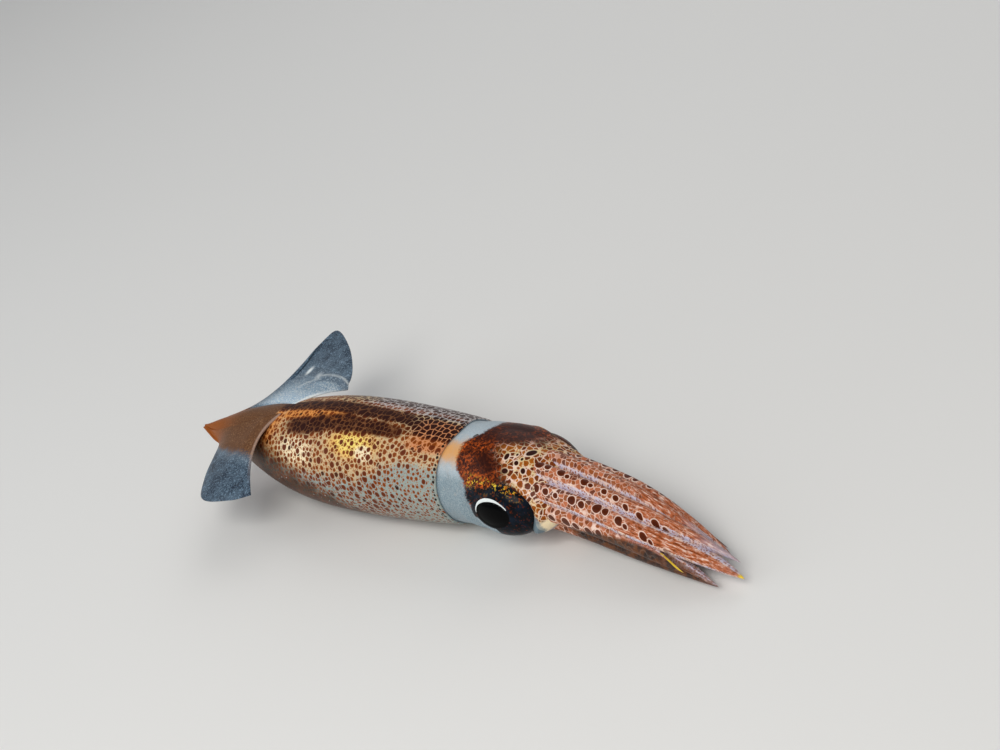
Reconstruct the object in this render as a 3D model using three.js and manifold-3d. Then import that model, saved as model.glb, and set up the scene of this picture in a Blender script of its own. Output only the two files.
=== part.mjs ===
// Whole raw squid, lying on its belly. Millimetres, +Z up, +X towards the arm tips, +Y to its left.
// The origin is on the surface it rests on, under the widest part of the mantle.
// Solids: the mantle with tail and both fins, the head with funnel, eight arms and two tentacles,
// and the two eyeballs in their sockets.
import * as THREE from 'three';
import { mergeVertices } from 'three/addons/utils/BufferGeometryUtils.js';
import Module from 'manifold-3d';

const wasm = await Module();
wasm.setup();

// Driving dimensions, mm.
const MANTLE_LENGTH = 71.4;
const NECK_SHOWN = 2.6; // the pale neck between the collar and the head
const MANTLE_RADIUS = 10.3;
const WIDTH_FACTOR = 1.02; // a section is slightly wider than high
const HEIGHT_FACTOR = 0.97;
const WIDEST = 0.68; // share of the length, from the tail, where it is widest
const TAIL_X = -51;
const REST_SINK = 0.6; // how far a soft body flattens where it lies, so that it doesn't roll
// Outline: the rear is (1 - back^power)^fullness of the widest radius, and the front loses a share.
const REAR_OUTLINE = { power: 2.4, fullness: 1.5 };
const FRONT_OUTLINE = { loss: 0.105, power: 1.8 };
const TAIL_END = { radius: 0.5, share: 0.06, width: 0.06 }; // thickens the very end of the tail
// Middle line: it rises behind a share of the length, humps under the fins and sags at mid length.
const TAIL_RISE = { height: 0.3, share: 0.42, power: 1.6 };
const FIN_HUMP = { height: 0.8, share: 0.17, width: 0.1 };
const BELLY_SAG = { height: -0.3, share: 0.42, width: 0.16 };
const COLLAR_LOBE = { reach: 1.1, width: 0.2 }; // the collar runs forward at the middle of the back
const COLLAR_NOTCH = { reach: 1.3, width: 0.4 }; // and back at the middle of the belly
const COLLAR_TRIM = { from: 0.8, power: 2 }; // the skin follows the collar's edge from this share on

const LIP = 0.38; // half the wall at the mantle's mouth
const MOUTH_DEPTH = 3.6; // the neck stands this deep in the mouth
const GAP = 0.32; // between solids that touch
const MANTLE_STEPS = 28;
const MANTLE_CROWDING = 1.15; // sections stand closer towards the tail
const MANTLE_SIDES = 36;
const LIP_STEPS = 4;

const FIN_ROOT_THICKNESS = 1.5;
const FIN_EDGE_THICKNESS = 0.5;
const FIN_SWEEP = 0.1; // how soon a fin swings forward as it leaves the body
const FIN_START = 0.004; // share of the mantle's length behind the fins
const FIN_SUNK = 0.25; // the root lies this far under the skin
const FIN_LEAN = 0.38; // how far a fin keeps to the skin's slope, as a share of its width
const FIN_CLIMB = 1.3; // how soon the root climbs from the side to the back
const FIN_TAPER = { chord: 0.25, power: 1.5 };
const FIN_HOLLOW_POWER = 3;
const FIN_TENSION = 0.5;

const HEAD_LENGTH = 21;
const HEAD_OPENS = { from: -1.2, to: 1.6, by: 0.9 }; // the neck widens into the head
const HEAD_TAPER = { from: 5, width: 5.0, widthPower: 2.6, height: 5.5, heightPower: 1.85 };
const HEAD_DROOP = { height: 0.6, power: 1.5 };
const CHEEK = { width: 0.3, at: 8, length: 5 };
const UNDERSIDE = { loss: 0.2, power: 1.5 }; // the underside is flatter
const HEAD_STEPS = 17;
const HEAD_SIDES = 32;
const EYE_HALF = [6.8, 3.6, 5.1]; // half axes of the eyeball
const EYE_PLACE = [10.3, 6.4, -0.7]; // from the middle of the head's back edge, y on its own side
const EYE_TILT = 6; // degrees, nose down
const EYE_YAW = 9; // degrees, nose in
const EYE_BULGE = { height: 0.7, length: 5.5, power: 3 }; // the head swells round each eye
const POCKET = { height: 1.6, at: 17, length: 3, angle: 2.2, spread: 0.6 }; // and low in front of it
const EYE_COLUMNS = 20;
const EYE_ROWS = 12;

const ARM_ROOT = 9; // the arms start inside the head, this far ahead of its back edge
const CROWN = 13; // where the bundle of arms starts to bend
const ARM_REACH = 42.5;
const ARM_SWAY = { width: 4.6, power: 1.7 }; // the bundle swings to the right
const ARM_DROP = { height: 8.1, power: 1.35, start: 0.2 }; // and sinks to the ground
// How far an arm's middle stands off the bundle's: most at the crown, and less towards the tips.
const ARM_SPREAD = { width: 3.6, crown: 0.2, crownLength: 0.2, loss: 1.0, power: 4 };
const ARM_FREE = 0.5; // share of its length from which an arm swings out to its own tip
const ARM_TAPER = 0.9;
const ARM_THICKNESS = 2.5; // half, away from the bundle's middle
const ARM_SQUARENESS = 0.9; // arms pressed together are fuller than an ellipse
const ARM_STEPS = 18;
const ARM_SIDES = 12;
const TENTACLE_STEPS = 16;
const TENTACLE_SIDES = 8;
const CORE = { reach: 0.74, power: 6, steps: 14, sides: 12 }; // fills the bundle's middle
const PAST_TIP = 1.2; // the bundle's curve goes on for a little past its own length

// One row an arm: angle round the bundle from the back, half width, how blunt the tip is,
// and the tip from the head's back edge at ground level. Negative angles and y are on the right.
const ARMS = [
  { angle: -20, width: 1.55, blunt: 4.4, tip: [55.5, -3.9, 3.4] },
  { angle: -57, width: 1.75, blunt: 8.0, tip: [57.1, -5.9, 2.1] },
  { angle: -98, width: 2.0, blunt: 2.6, tip: [48.0, -8.9, 4.0] },
  { angle: -150, width: 2.3, blunt: 3.8, tip: [52.6, -7.4, 0.8], reach: 1.12 },
  { angle: 20, width: 1.55, blunt: 5.0, tip: [50.5, -2.4, 4.1] },
  { angle: 57, width: 1.65, blunt: 5.5, tip: [51.5, -1.6, 2.5] },
  { angle: 98, width: 2.0, blunt: 3.0, tip: [49.0, 0.6, 1.5] },
  { angle: 150, width: 2.3, blunt: 3.0, tip: [48.5, -2.4, 0.7], reach: 1.15 },
];
const TENTACLES = [
  { angle: -124, width: 1.1, blunt: 5.0, tip: [53.6, -8.2, 1.6] },
  { angle: 124, width: 1.1, blunt: 5.0, tip: [50.5, -0.6, 0.7] },
];
const TENTACLE_REACH = 0.85;

// Funnel: how far ahead of the head's back edge, and the radius there, with a shallow mouth.
const FUNNEL_PROFILE = [[-4.5, 0], [-4.5, 2.2], [-0.5, 2.9], [3.5, 2.7], [6.5, 2.2], [8.9, 1.75],
  [9.2, 1.4], [8.2, 1.1], [8.2, 0]];
const FUNNEL_WIDTH = 1.15;
const FUNNEL_BELOW = 5.3; // under the head's middle line
const FUNNEL_SLOPE = 0.12;
const FUNNEL_SIDES = 20;

// Fin outlines from the tail tip round to the front corner: along from the tail tip, out from the
// middle, and up from the ground. The left fin is lifted and swings forward. Droop is the share of
// its root's slope that a fin leaves the skin with, and hollow is how far its front margin is drawn back.
const FINS = [
  {
    side: -1,
    rootEnd: 0.392,
    rootAngle: 9,
    droop: 0.75,
    hollow: 5,
    edge: [[-0.4, 0.4, 9.6], [5.2, 2.9, 9.5], [8.9, 4.5, 9.3], [10.6, 8.1, 9.0], [12.8, 12.8, 8.9],
      [16.6, 17.4, 9.0], [21.1, 19.0, 9.3], [26.6, 18.4, 10.1], [31.8, 17.1, 11.2]],
  },
  {
    side: 1,
    rootEnd: 0.408,
    rootAngle: 8,
    droop: 0.1,
    hollow: 0,
    edge: [[-0.4, 0.2, 9.6], [6.6, 2.4, 10.3], [13.4, 4.6, 11.6], [17.6, 7.9, 13.9], [19.4, 12.9, 16.3],
      [20.0, 18.2, 18.1], [22.2, 21.2, 18.9], [29.9, 16.7, 19.0], [35.6, 11.4, 18.7], [37.2, 7.4, 16.9]],
  },
];
const FIN_CHORD_STEPS = 18;
const FIN_SPAN_STEPS = 7;

const MANTLE_COLOUR = 0xb8a08c;
const HEAD_COLOUR = 0xa0603c;
const EYE_COLOUR = 0x15181c;
const SKIN_ROUGHNESS = 0.35;
const EYE_ROUGHNESS = 0.12;

const COLLAR_X = TAIL_X + MANTLE_LENGTH;
const HEAD_X = COLLAR_X + NECK_SHOWN;
const AXIS_Z = MANTLE_RADIUS * HEIGHT_FACTOR - REST_SINK;
const TURN = 2 * Math.PI;
const QUARTER = Math.PI / 2;
const MERGE = 1e-4; // points closer than this are one
const GROUND = { length: 3 * MANTLE_LENGTH, width: MANTLE_LENGTH, depth: 10 };

const clamp = THREE.MathUtils.clamp;
const smooth = (x, from, to) => THREE.MathUtils.smoothstep(x, from, to);
const bell = (x, middle, width) => Math.exp(-(((x - middle) / width) ** 2));

const hump = (share, shape) => shape.height * bell(share, shape.share, shape.width);

// The height of the mantle's middle line.
function axisZ(share) {
  const rise = TAIL_RISE.height * clamp(1 - share / TAIL_RISE.share, 0, 1) ** TAIL_RISE.power;
  return AXIS_Z + rise + hump(share, FIN_HUMP) + hump(share, BELLY_SAG);
}

// The mantle's radius: a spindle that ends in a point at the tail and narrows slightly at the collar.
function mantleRadius(share) {
  const back = clamp(1 - share / WIDEST, 0, 1);
  const front = clamp((share - WIDEST) / (1 - WIDEST), 0, 1);
  const rear = (1 - back ** REAR_OUTLINE.power) ** REAR_OUTLINE.fullness;
  const shape = share < WIDEST ? rear : 1 - FRONT_OUTLINE.loss * front ** FRONT_OUTLINE.power;
  return MANTLE_RADIUS * shape + TAIL_END.radius * bell(share, TAIL_END.share, TAIL_END.width);
}

// How far the collar's edge stands ahead of its mean place at an angle from the back.
function collarEdge(angle) {
  const lobe = COLLAR_LOBE.reach * bell(Math.sin(angle / 2), 0, COLLAR_LOBE.width);
  return lobe - COLLAR_NOTCH.reach * bell(Math.cos(angle / 2), 0, COLLAR_NOTCH.width);
}

// A point of the mantle, at a share of its length, an angle from the back and a radius. Trim is how
// far it follows the collar's edge.
function mantlePoint(share, angle, radius, trim = 0) {
  return new THREE.Vector3(
    TAIL_X + MANTLE_LENGTH * share + trim * collarEdge(angle),
    WIDTH_FACTOR * radius * Math.sin(angle),
    axisZ(share) + HEIGHT_FACTOR * radius * Math.cos(angle),
  );
}

// A closed skin: a profile of [along, radius, trim] rows is turned round, and each vertex is then
// placed by its row and its angle.
function carried(profile, sides, place) {
  const points = profile.map(([along, radius]) => new THREE.Vector2(radius, along));
  const geometry = new THREE.LatheGeometry(points, sides);
  const position = geometry.attributes.position;
  for (let index = 0; index < position.count; index++) {
    const angle = (-TURN * (Math.floor(index / profile.length) % sides)) / sides;
    const [along, radius, trim] = profile[index % profile.length];
    const point = place(along, angle, radius, trim);
    position.setXYZ(index, point.x, point.y, point.z);
  }
  return geometry;
}

// A closed tube with pointed ends: place gives the point at a share of the length and an angle.
function tube(steps, sides, place) {
  const profile = [[0, 0]];
  for (let step = 1; step < steps; step++) {
    profile.push([step / steps, 1]);
  }
  profile.push([1, 0]);
  return carried(profile, sides, place);
}

// A thin closed flap: both faces are split alike, and a rim joins them.
function flap(chordSteps, spanSteps, middle, thickness) {
  const rows = chordSteps + 1;
  const columns = spanSteps + 1;
  const positions = [];
  const step = 1e-3;
  for (const face of [1, -1]) {
    for (let row = 0; row < rows; row++) {
      for (let column = 0; column < columns; column++) {
        const u = row / chordSteps;
        const v = column / spanSteps;
        const point = middle(u, v);
        const along = middle(clamp(u + step, 0, 1), v).sub(middle(clamp(u - step, 0, 1), v));
        const out = middle(u, clamp(v + step, 0, 1)).sub(middle(u, clamp(v - step, 0, 1)));
        const normal = along.cross(out).normalize();
        point.addScaledVector(normal, face * 0.5 * thickness(u, v));
        positions.push(point.x, point.y, point.z);
      }
    }
  }
  const at = (face, row, column) => face * rows * columns + row * columns + column;
  const indices = [];
  const quad = (a, b, c, d) => indices.push(a, b, c, a, c, d);
  for (let row = 0; row < chordSteps; row++) {
    for (let column = 0; column < spanSteps; column++) {
      quad(at(0, row, column), at(0, row + 1, column), at(0, row + 1, column + 1), at(0, row, column + 1));
      indices.push(at(1, row, column), at(1, row + 1, column + 1), at(1, row + 1, column));
      indices.push(at(1, row, column), at(1, row, column + 1), at(1, row + 1, column + 1));
    }
    quad(at(0, row, 0), at(1, row, 0), at(1, row + 1, 0), at(0, row + 1, 0));
    quad(at(0, row + 1, spanSteps), at(1, row + 1, spanSteps), at(1, row, spanSteps), at(0, row, spanSteps));
  }
  for (let column = 0; column < spanSteps; column++) {
    quad(at(0, 0, column + 1), at(1, 0, column + 1), at(1, 0, column), at(0, 0, column));
    quad(at(0, chordSteps, column), at(1, chordSteps, column),
      at(1, chordSteps, column + 1), at(0, chordSteps, column + 1));
  }
  const geometry = new THREE.BufferGeometry();
  geometry.setAttribute('position', new THREE.Float32BufferAttribute(positions, 3));
  geometry.setIndex(indices);
  return geometry;
}

// A closed mesh as a solid for joining and cutting, and back.
function solid(geometry) {
  const bare = geometry.clone();
  bare.deleteAttribute('normal');
  bare.deleteAttribute('uv');
  const merged = mergeVertices(bare, MERGE);
  const kept = [];
  const index = merged.index.array;
  for (let corner = 0; corner < index.length; corner += 3) {
    const [a, b, c] = [index[corner], index[corner + 1], index[corner + 2]];
    if (a !== b && b !== c && c !== a) {
      kept.push(a, b, c);
    }
  }
  const vertProperties = new Float32Array(merged.attributes.position.array);
  return new wasm.Manifold(new wasm.Mesh({ numProp: 3, vertProperties, triVerts: new Uint32Array(kept) }));
}

function mesh(name, body, colour, roughness) {
  const result = body.getMesh();
  const geometry = new THREE.BufferGeometry();
  geometry.setAttribute('position', new THREE.BufferAttribute(result.vertProperties, 3));
  geometry.setIndex(new THREE.BufferAttribute(result.triVerts, 1));
  geometry.computeVertexNormals();
  const material = new THREE.MeshStandardMaterial({ color: colour, roughness, metalness: 0 });
  const node = new THREE.Mesh(geometry, material);
  node.name = name;
  return node;
}

// Everything below the resting surface, cut away so that the soft body lies flat on it.
function ground() {
  const block = new THREE.BoxGeometry(GROUND.length, GROUND.width, GROUND.depth);
  block.translate(0, 0, -GROUND.depth / 2);
  return solid(block);
}

// Mantle: the outer skin from the tail tip, over a rounded lip and down into the mouth.
function mantleBody() {
  const profile = [[0, 0]];
  for (let step = 1; step <= MANTLE_STEPS; step++) {
    const share = (step / MANTLE_STEPS) ** MANTLE_CROWDING;
    const trim = clamp((share - COLLAR_TRIM.from) / (1 - COLLAR_TRIM.from), 0, 1) ** COLLAR_TRIM.power;
    profile.push([share, mantleRadius(share), trim]);
  }
  const rim = mantleRadius(1) - LIP;
  for (let step = 1; step <= LIP_STEPS; step++) {
    const turn = (Math.PI * step) / LIP_STEPS;
    profile.push([1 + (LIP * Math.sin(turn)) / MANTLE_LENGTH, rim + LIP * Math.cos(turn), 1]);
  }
  const floor = 1 - MOUTH_DEPTH / MANTLE_LENGTH;
  profile.push([floor, rim - LIP, 0]);
  profile.push([floor, 0, 0]);
  return solid(carried(profile, MANTLE_SIDES, mantlePoint));
}

// Fin: from a root just under the mantle's skin to its outline, leaving the skin along its slope.
function finBody({ side, rootEnd, rootAngle, droop, hollow, edge }) {
  const outline = new THREE.CatmullRomCurve3(edge.map(([along, out, up]) => (
    new THREE.Vector3(TAIL_X + along, side * out, up)
  )), false, 'catmullrom', FIN_TENSION);
  const rootTurn = THREE.MathUtils.degToRad(rootAngle);
  const middle = (u, v) => {
    const share = FIN_START + rootEnd * u;
    const angle = rootTurn + (QUARTER - rootTurn) * (1 - u) ** FIN_CLIMB;
    const root = mantlePoint(share, side * angle, mantleRadius(share) - FIN_SUNK);
    const tip = outline.getPoint(u);
    const lean = FIN_LEAN * tip.distanceTo(root);
    const bend = root.clone().add(new THREE.Vector3(
      FIN_SWEEP * (tip.x - root.x) - hollow * u ** FIN_HOLLOW_POWER,
      side * lean * Math.cos(droop * angle),
      -lean * Math.sin(droop * angle),
    ));
    return new THREE.QuadraticBezierCurve3(root, bend, tip).getPoint(v);
  };
  const thickness = (u, v) => {
    const root = smooth(u, 0, FIN_TAPER.chord) * (1 - v) ** FIN_TAPER.power;
    return FIN_EDGE_THICKNESS + (FIN_ROOT_THICKNESS - FIN_EDGE_THICKNESS) * root;
  };
  return solid(flap(FIN_CHORD_STEPS, FIN_SPAN_STEPS, middle, thickness));
}

// Head: a barrel that swells at the eyes, with a flatter underside.
function headPoint(share, angle) {
  const back = GAP - MOUTH_DEPTH - NECK_SHOWN;
  const x = back + (HEAD_LENGTH - back) * share;
  const open = smooth(x, HEAD_OPENS.from, HEAD_OPENS.to);
  const front = clamp((x - HEAD_TAPER.from) / (HEAD_LENGTH - HEAD_TAPER.from), 0, 1);
  const neck = mantleRadius(1) - 2 * LIP - GAP;
  const cheek = CHEEK.width * bell(x, CHEEK.at, CHEEK.length);
  const narrower = HEAD_TAPER.width * front ** HEAD_TAPER.widthPower;
  const width = WIDTH_FACTOR * neck + HEAD_OPENS.by * open + cheek - narrower;
  const lower = HEAD_TAPER.height * front ** HEAD_TAPER.heightPower;
  const height = HEIGHT_FACTOR * neck + HEAD_OPENS.by * open - lower;
  const under = 1 - UNDERSIDE.loss * open * clamp(-Math.cos(angle), 0, 1) ** UNDERSIDE.power;
  const beside = Math.abs(Math.sin(angle)) ** EYE_BULGE.power;
  const swell = EYE_BULGE.height * bell(x, EYE_PLACE[0], EYE_BULGE.length) * beside;
  const low = bell(Math.acos(Math.cos(angle)), POCKET.angle, POCKET.spread);
  const pocket = POCKET.height * bell(x, POCKET.at, POCKET.length) * low;
  const middle = axisZ(1) - HEAD_DROOP.height * front ** HEAD_DROOP.power;
  return new THREE.Vector3(
    HEAD_X + x,
    (width + swell + pocket) * Math.sin(angle),
    middle + (height * under + pocket) * Math.cos(angle),
  );
}

function headSkin() {
  const place = (share, angle, radius) => {
    const skin = headPoint(share, angle);
    const middle = headPoint(share, QUARTER).lerp(headPoint(share, -QUARTER), 0.5);
    return middle.lerp(skin, radius);
  };
  const profile = [[0, 0]];
  for (let step = 0; step <= HEAD_STEPS; step++) {
    profile.push([step / HEAD_STEPS, 1]);
  }
  profile.push([1, 0]);
  return solid(carried(profile, HEAD_SIDES, place));
}

// The middle line of the arm bundle at a distance ahead of the head's back edge.
function bundle(x) {
  const share = clamp((x - CROWN) / ARM_REACH, 0, PAST_TIP);
  return new THREE.Vector3(
    HEAD_X + x,
    -ARM_SWAY.width * share ** ARM_SWAY.power,
    axisZ(1) - ARM_DROP.start - ARM_DROP.height * share ** ARM_DROP.power,
  );
}

function spread(x) {
  const share = clamp((x - CROWN) / ARM_REACH, 0, PAST_TIP);
  const crown = ARM_SPREAD.crown * bell(share, 0, ARM_SPREAD.crownLength);
  return ARM_SPREAD.width + crown - ARM_SPREAD.loss * share ** ARM_SPREAD.power;
}

// Arm: a rounded section that follows the bundle, swings out to its own tip and turns oval there.
function armPoint(arm, share, angle, radius) {
  const x = ARM_ROOT + (arm.tip[0] - ARM_ROOT) * share;
  const turn = THREE.MathUtils.degToRad(arm.angle);
  const out = new THREE.Vector3(0, Math.sin(turn), Math.cos(turn));
  const across = new THREE.Vector3(0, Math.cos(turn), -Math.sin(turn));
  const swing = smooth(share, ARM_FREE, 1);
  const own = bundle(arm.tip[0]);
  const away = new THREE.Vector3(0, arm.tip[1] - own.y, arm.tip[2] - own.z);
  const stand = (1 - swing) * spread(x) * arm.reach;
  const middle = bundle(x).addScaledVector(out, stand).addScaledVector(away, swing);
  const taper = Math.max(1 - share ** arm.blunt, 0) ** ARM_TAPER;
  const square = 2 + ARM_SQUARENESS * (1 - swing);
  const full = (Math.abs(Math.cos(angle)) ** square + Math.abs(Math.sin(angle)) ** square) ** (-1 / square);
  const size = taper * full * radius;
  middle.addScaledVector(out, arm.thickness * size * Math.cos(angle));
  return middle.addScaledVector(across, arm.width * size * Math.sin(angle));
}

function armBody(arm, steps, sides) {
  return solid(tube(steps, sides, (share, angle, radius) => armPoint(arm, share, angle, radius)));
}

// The bundle's middle, filled up to where the arms part.
function bundleCore() {
  return solid(tube(CORE.steps, CORE.sides, (share, angle, radius) => {
    const x = CROWN + CORE.reach * ARM_REACH * share;
    const size = spread(x) * (1 - share ** CORE.power) * radius;
    return bundle(x).add(new THREE.Vector3(0, size * Math.sin(angle), size * Math.cos(angle)));
  }));
}

// Funnel: a cone under the head with a shallow round mouth.
function funnelBody() {
  return solid(carried(FUNNEL_PROFILE, FUNNEL_SIDES, (along, angle, radius) => new THREE.Vector3(
    HEAD_X + along,
    FUNNEL_WIDTH * radius * Math.sin(angle),
    axisZ(1) - FUNNEL_BELOW - FUNNEL_SLOPE * Math.max(along, 0) + radius * Math.cos(angle),
  )));
}

// An eyeball, and with a margin the socket that it sits in.
function eyeBody(side, margin) {
  const [length, depth, height] = EYE_HALF.map((half) => half + margin);
  const ball = new THREE.SphereGeometry(1, EYE_COLUMNS, EYE_ROWS);
  ball.rotateX(QUARTER);
  ball.scale(length, depth, height);
  ball.rotateY(THREE.MathUtils.degToRad(EYE_TILT));
  ball.rotateZ(-side * THREE.MathUtils.degToRad(EYE_YAW));
  ball.translate(HEAD_X + EYE_PLACE[0], side * EYE_PLACE[1], axisZ(1) + EYE_PLACE[2]);
  return solid(ball);
}

const floor = ground();

let mantle = mantleBody();
for (const fin of FINS) {
  mantle = mantle.add(finBody(fin));
}
mantle = mantle.subtract(floor);

let head = headSkin().add(funnelBody()).add(bundleCore());
for (const arm of ARMS) {
  head = head.add(armBody({ reach: 1, thickness: ARM_THICKNESS, ...arm }, ARM_STEPS, ARM_SIDES));
}
for (const tentacle of TENTACLES) {
  const arm = { ...tentacle, reach: TENTACLE_REACH, thickness: tentacle.width };
  head = head.add(armBody(arm, TENTACLE_STEPS, TENTACLE_SIDES));
}
for (const side of [-1, 1]) {
  head = head.subtract(eyeBody(side, GAP));
}
head = head.subtract(floor);

const group = new THREE.Group();
group.add(mesh('mantle', mantle, MANTLE_COLOUR, SKIN_ROUGHNESS));
group.add(mesh('head', head, HEAD_COLOUR, SKIN_ROUGHNESS));
group.add(mesh('eye_left', eyeBody(1, 0), EYE_COLOUR, EYE_ROUGHNESS));
group.add(mesh('eye_right', eyeBody(-1, 0), EYE_COLOUR, EYE_ROUGHNESS));

export default group;
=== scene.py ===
"""Whole raw squid, lying on its belly: skins, fins, arms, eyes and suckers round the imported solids.

Shapes are in millimetres inside this file and become metres when a mesh is made. +X runs towards
the arm tips, +Y to the squid's own left and +Z up; angles are measured round the body from the
middle of the back, positive to the left.
"""

import math
from collections import namedtuple

import bpy
import numpy as np
from bpy.props import FloatProperty, FloatVectorProperty, PointerProperty
from mathutils import Matrix, Vector


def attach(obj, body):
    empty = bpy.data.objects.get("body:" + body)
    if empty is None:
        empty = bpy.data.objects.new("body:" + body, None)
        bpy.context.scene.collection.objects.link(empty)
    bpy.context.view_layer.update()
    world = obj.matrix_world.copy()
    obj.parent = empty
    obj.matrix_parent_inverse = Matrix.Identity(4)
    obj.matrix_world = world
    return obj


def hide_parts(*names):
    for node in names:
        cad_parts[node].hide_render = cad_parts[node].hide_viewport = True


bl_info = {
    "name": "Whole Raw Squid",
    "version": (1, 1, 0),
    "blender": (4, 5, 0),
    "location": "View3D > Sidebar > Squid",
    "description": "Builds the skins, fins, arms and eyes of a whole raw squid",
    "category": "Object",
}

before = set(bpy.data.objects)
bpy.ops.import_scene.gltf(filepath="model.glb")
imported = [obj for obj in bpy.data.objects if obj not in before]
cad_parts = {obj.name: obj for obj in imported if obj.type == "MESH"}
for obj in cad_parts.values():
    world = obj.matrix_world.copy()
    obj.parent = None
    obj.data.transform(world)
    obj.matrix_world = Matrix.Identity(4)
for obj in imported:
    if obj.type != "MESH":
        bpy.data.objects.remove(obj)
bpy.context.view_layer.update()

MM = 0.001
RIGHT, LEFT = -1, 1

# The camera: degrees ahead of broadside, degrees up round the body's long axis, degrees of roll, the
# sensor's width, the point that it looks at, and the pixel where that point comes in a picture of
# the size given last. Lengths are in millimetres.
VIEW_AHEAD, VIEW_UP, VIEW_ROLL, SENSOR = 44, 44, 9.5, 36
LOOK_AT, LOOK_PIXEL, PICTURE = (23, 0, 9.2), (485, 474), (1000, 750)
# Skin from the tail tip to the row of dark spots round the collar, how far the pattern is shifted
# along an arm for each degree that the arm lies round the bundle, and what counts as far from any
# spot. All in millimetres.
COLLAR_ROW, ARM_SHIFT, FAR = 71.2, 0.37, 9.0
# The pupil's black, as a shader takes it.
PUPIL = (0.0006, 0.0006, 0.0008, 1.0)

# Arms: angle round the bundle from the back, half width, how blunt the tip is, the tip from the
# head's back edge at ground level, how far it stands off the bundle's middle, and the angle round
# its own section where the pale band below its spots begins. Millimetres and degrees.
ARMS = {
    "arm_right_1": dict(angle=-20, width=1.55, blunt=4.4, tip=(55.5, -3.9, 3.4), reach=1.0, band=31),
    "arm_right_2": dict(angle=-57, width=1.75, blunt=8.0, tip=(57.1, -5.9, 2.1), reach=1.0, band=23),
    "arm_right_3": dict(angle=-98, width=2.0, blunt=2.6, tip=(48.0, -8.9, 4.0), reach=1.0, band=70),
    "arm_right_4": dict(angle=-150, width=2.3, blunt=3.8, tip=(52.6, -7.4, 0.8), reach=1.12, band=90),
    "arm_left_1": dict(angle=20, width=1.55, blunt=5.0, tip=(50.5, -2.4, 4.1), reach=1.0, band=40),
    "arm_left_2": dict(angle=57, width=1.65, blunt=5.5, tip=(51.5, -1.6, 2.5), reach=1.0, band=30),
    "arm_left_3": dict(angle=98, width=2.0, blunt=3.0, tip=(49.0, 0.6, 1.5), reach=1.0, band=70),
    "arm_left_4": dict(angle=150, width=2.3, blunt=3.0, tip=(48.5, -2.4, 0.7), reach=1.15, band=90),
}
TENTACLES = {
    "tentacle_right": dict(angle=-124, width=1.1, blunt=5.0, tip=(53.6, -8.2, 1.6), reach=0.85, band=90),
    "tentacle_left": dict(angle=124, width=1.1, blunt=5.0, tip=(50.5, -0.6, 0.7), reach=0.85, band=90),
}
# Where the row of large spots lies on an arm: distance from the head's back edge, and the angle
# round the arm's own section.
ROWS = {
    "1": ((17, 16), (30.6, 13.5), (33.2, -1.5), (35.4, -15), (37.3, -33), (46, -60)),
    "2": ((17, 22), (28, 22), (31, 33), (36.6, 16.5), (38.9, 1.5), (40.8, -10.5), (42.8, -27), (50, -60)),
    "3": ((17, 14), (30, 14), (50, 0)),
    "4": ((17, 0), (50, 0)),
}
# Fins: share of the mantle's length that the root takes, the root's angle at its front end, the
# share of the root's slope that the fin leaves the skin with, how far the front margin is drawn
# back, and the outline from the tail tip round to the front corner: along from the tail tip, out
# from the middle, up from the ground.
FINS = {
    "fin_right": dict(
        side=RIGHT, root_end=0.392, root_angle=9, droop=0.75, hollow=5,
        edge=((-0.4, 0.4, 9.6), (5.2, 2.9, 9.5), (8.9, 4.5, 9.3), (10.6, 8.1, 9.0),
              (12.8, 12.8, 8.9), (16.6, 17.4, 9.0), (21.1, 19.0, 9.3), (26.6, 18.4, 10.1),
              (31.8, 17.1, 11.2))),
    "fin_left": dict(
        side=LEFT, root_end=0.408, root_angle=8, droop=0.1, hollow=0,
        edge=((-0.4, 0.2, 9.6), (6.6, 2.4, 10.3), (13.4, 4.6, 11.6), (17.6, 7.9, 13.9),
              (19.4, 12.9, 16.3), (20.0, 18.2, 18.1), (22.2, 21.2, 18.9), (29.9, 16.7, 19.0),
              (35.6, 11.4, 18.7), (37.2, 7.4, 16.9))),
}
# Large dark ovals on the head: distance from its back edge, degrees from the middle of the back,
# half length and half width in millimetres, and how far the length is turned from the head's own
# towards the left.
OVALS = ((2.95, 4.5, 0.55, 0.36, 60), (11.2, 18.5, 0.66, 0.38, 90), (14.3, 2, 1.05, 0.5, 64),
         (13.2, 22, 0.48, 0.36, 108), (14.75, 28.5, 0.6, 0.38, 108), (12, 34.5, 0.54, 0.48, 0),
         (12.6, 12, 0.3, 0.2, 90), (13.7, 15, 0.34, 0.22, 90))


def bell(x, middle, width):
    """1 at the middle, falling to both sides as the exponential of minus the distance squared."""
    return np.exp(-(((x - middle) / width) ** 2))


def smooth(x, low, high):
    """0 below low, 1 above high, and an S-shaped cubic between them."""
    t = np.clip((x - low) / (high - low), 0, 1)
    return t * t * (3 - 2 * t)


def plateau(x, middle, half, soft):
    """1 within half of the middle, falling smoothly to 0 over the soft width outside."""
    return 1 - smooth(np.abs(x - middle), half, half + soft)


def knots(x, pairs):
    """Straight lines through pairs of place and value."""
    return np.interp(x, *zip(*pairs))


def stacked(*parts):
    """Arrays of any matching shapes, one for each coordinate, as one array of points."""
    return np.stack(np.broadcast_arrays(*parts), axis=-1)


def around(columns):
    """Angles once round in equal steps from minus half a turn, with the first place again at the end."""
    return np.linspace(-math.pi, math.pi, columns + 1)


def closed(grid):
    """The grid with its first column again at the end."""
    return np.concatenate([grid, grid[..., :1]], axis=-1)


def turned(first, second, radians):
    """Two coordinates, or two arrows at right angles, turned from the first towards the second."""
    cos, sin = math.cos(radians), math.sin(radians)
    return first * cos - second * sin, second * cos + first * sin


def rounded(x, start, width):
    """1 up to the start, then a quarter circle down to 0 over the width."""
    return np.sqrt(np.clip(1 - ((x - start) / width).clip(0, 1) ** 2, 0, 1))


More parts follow.
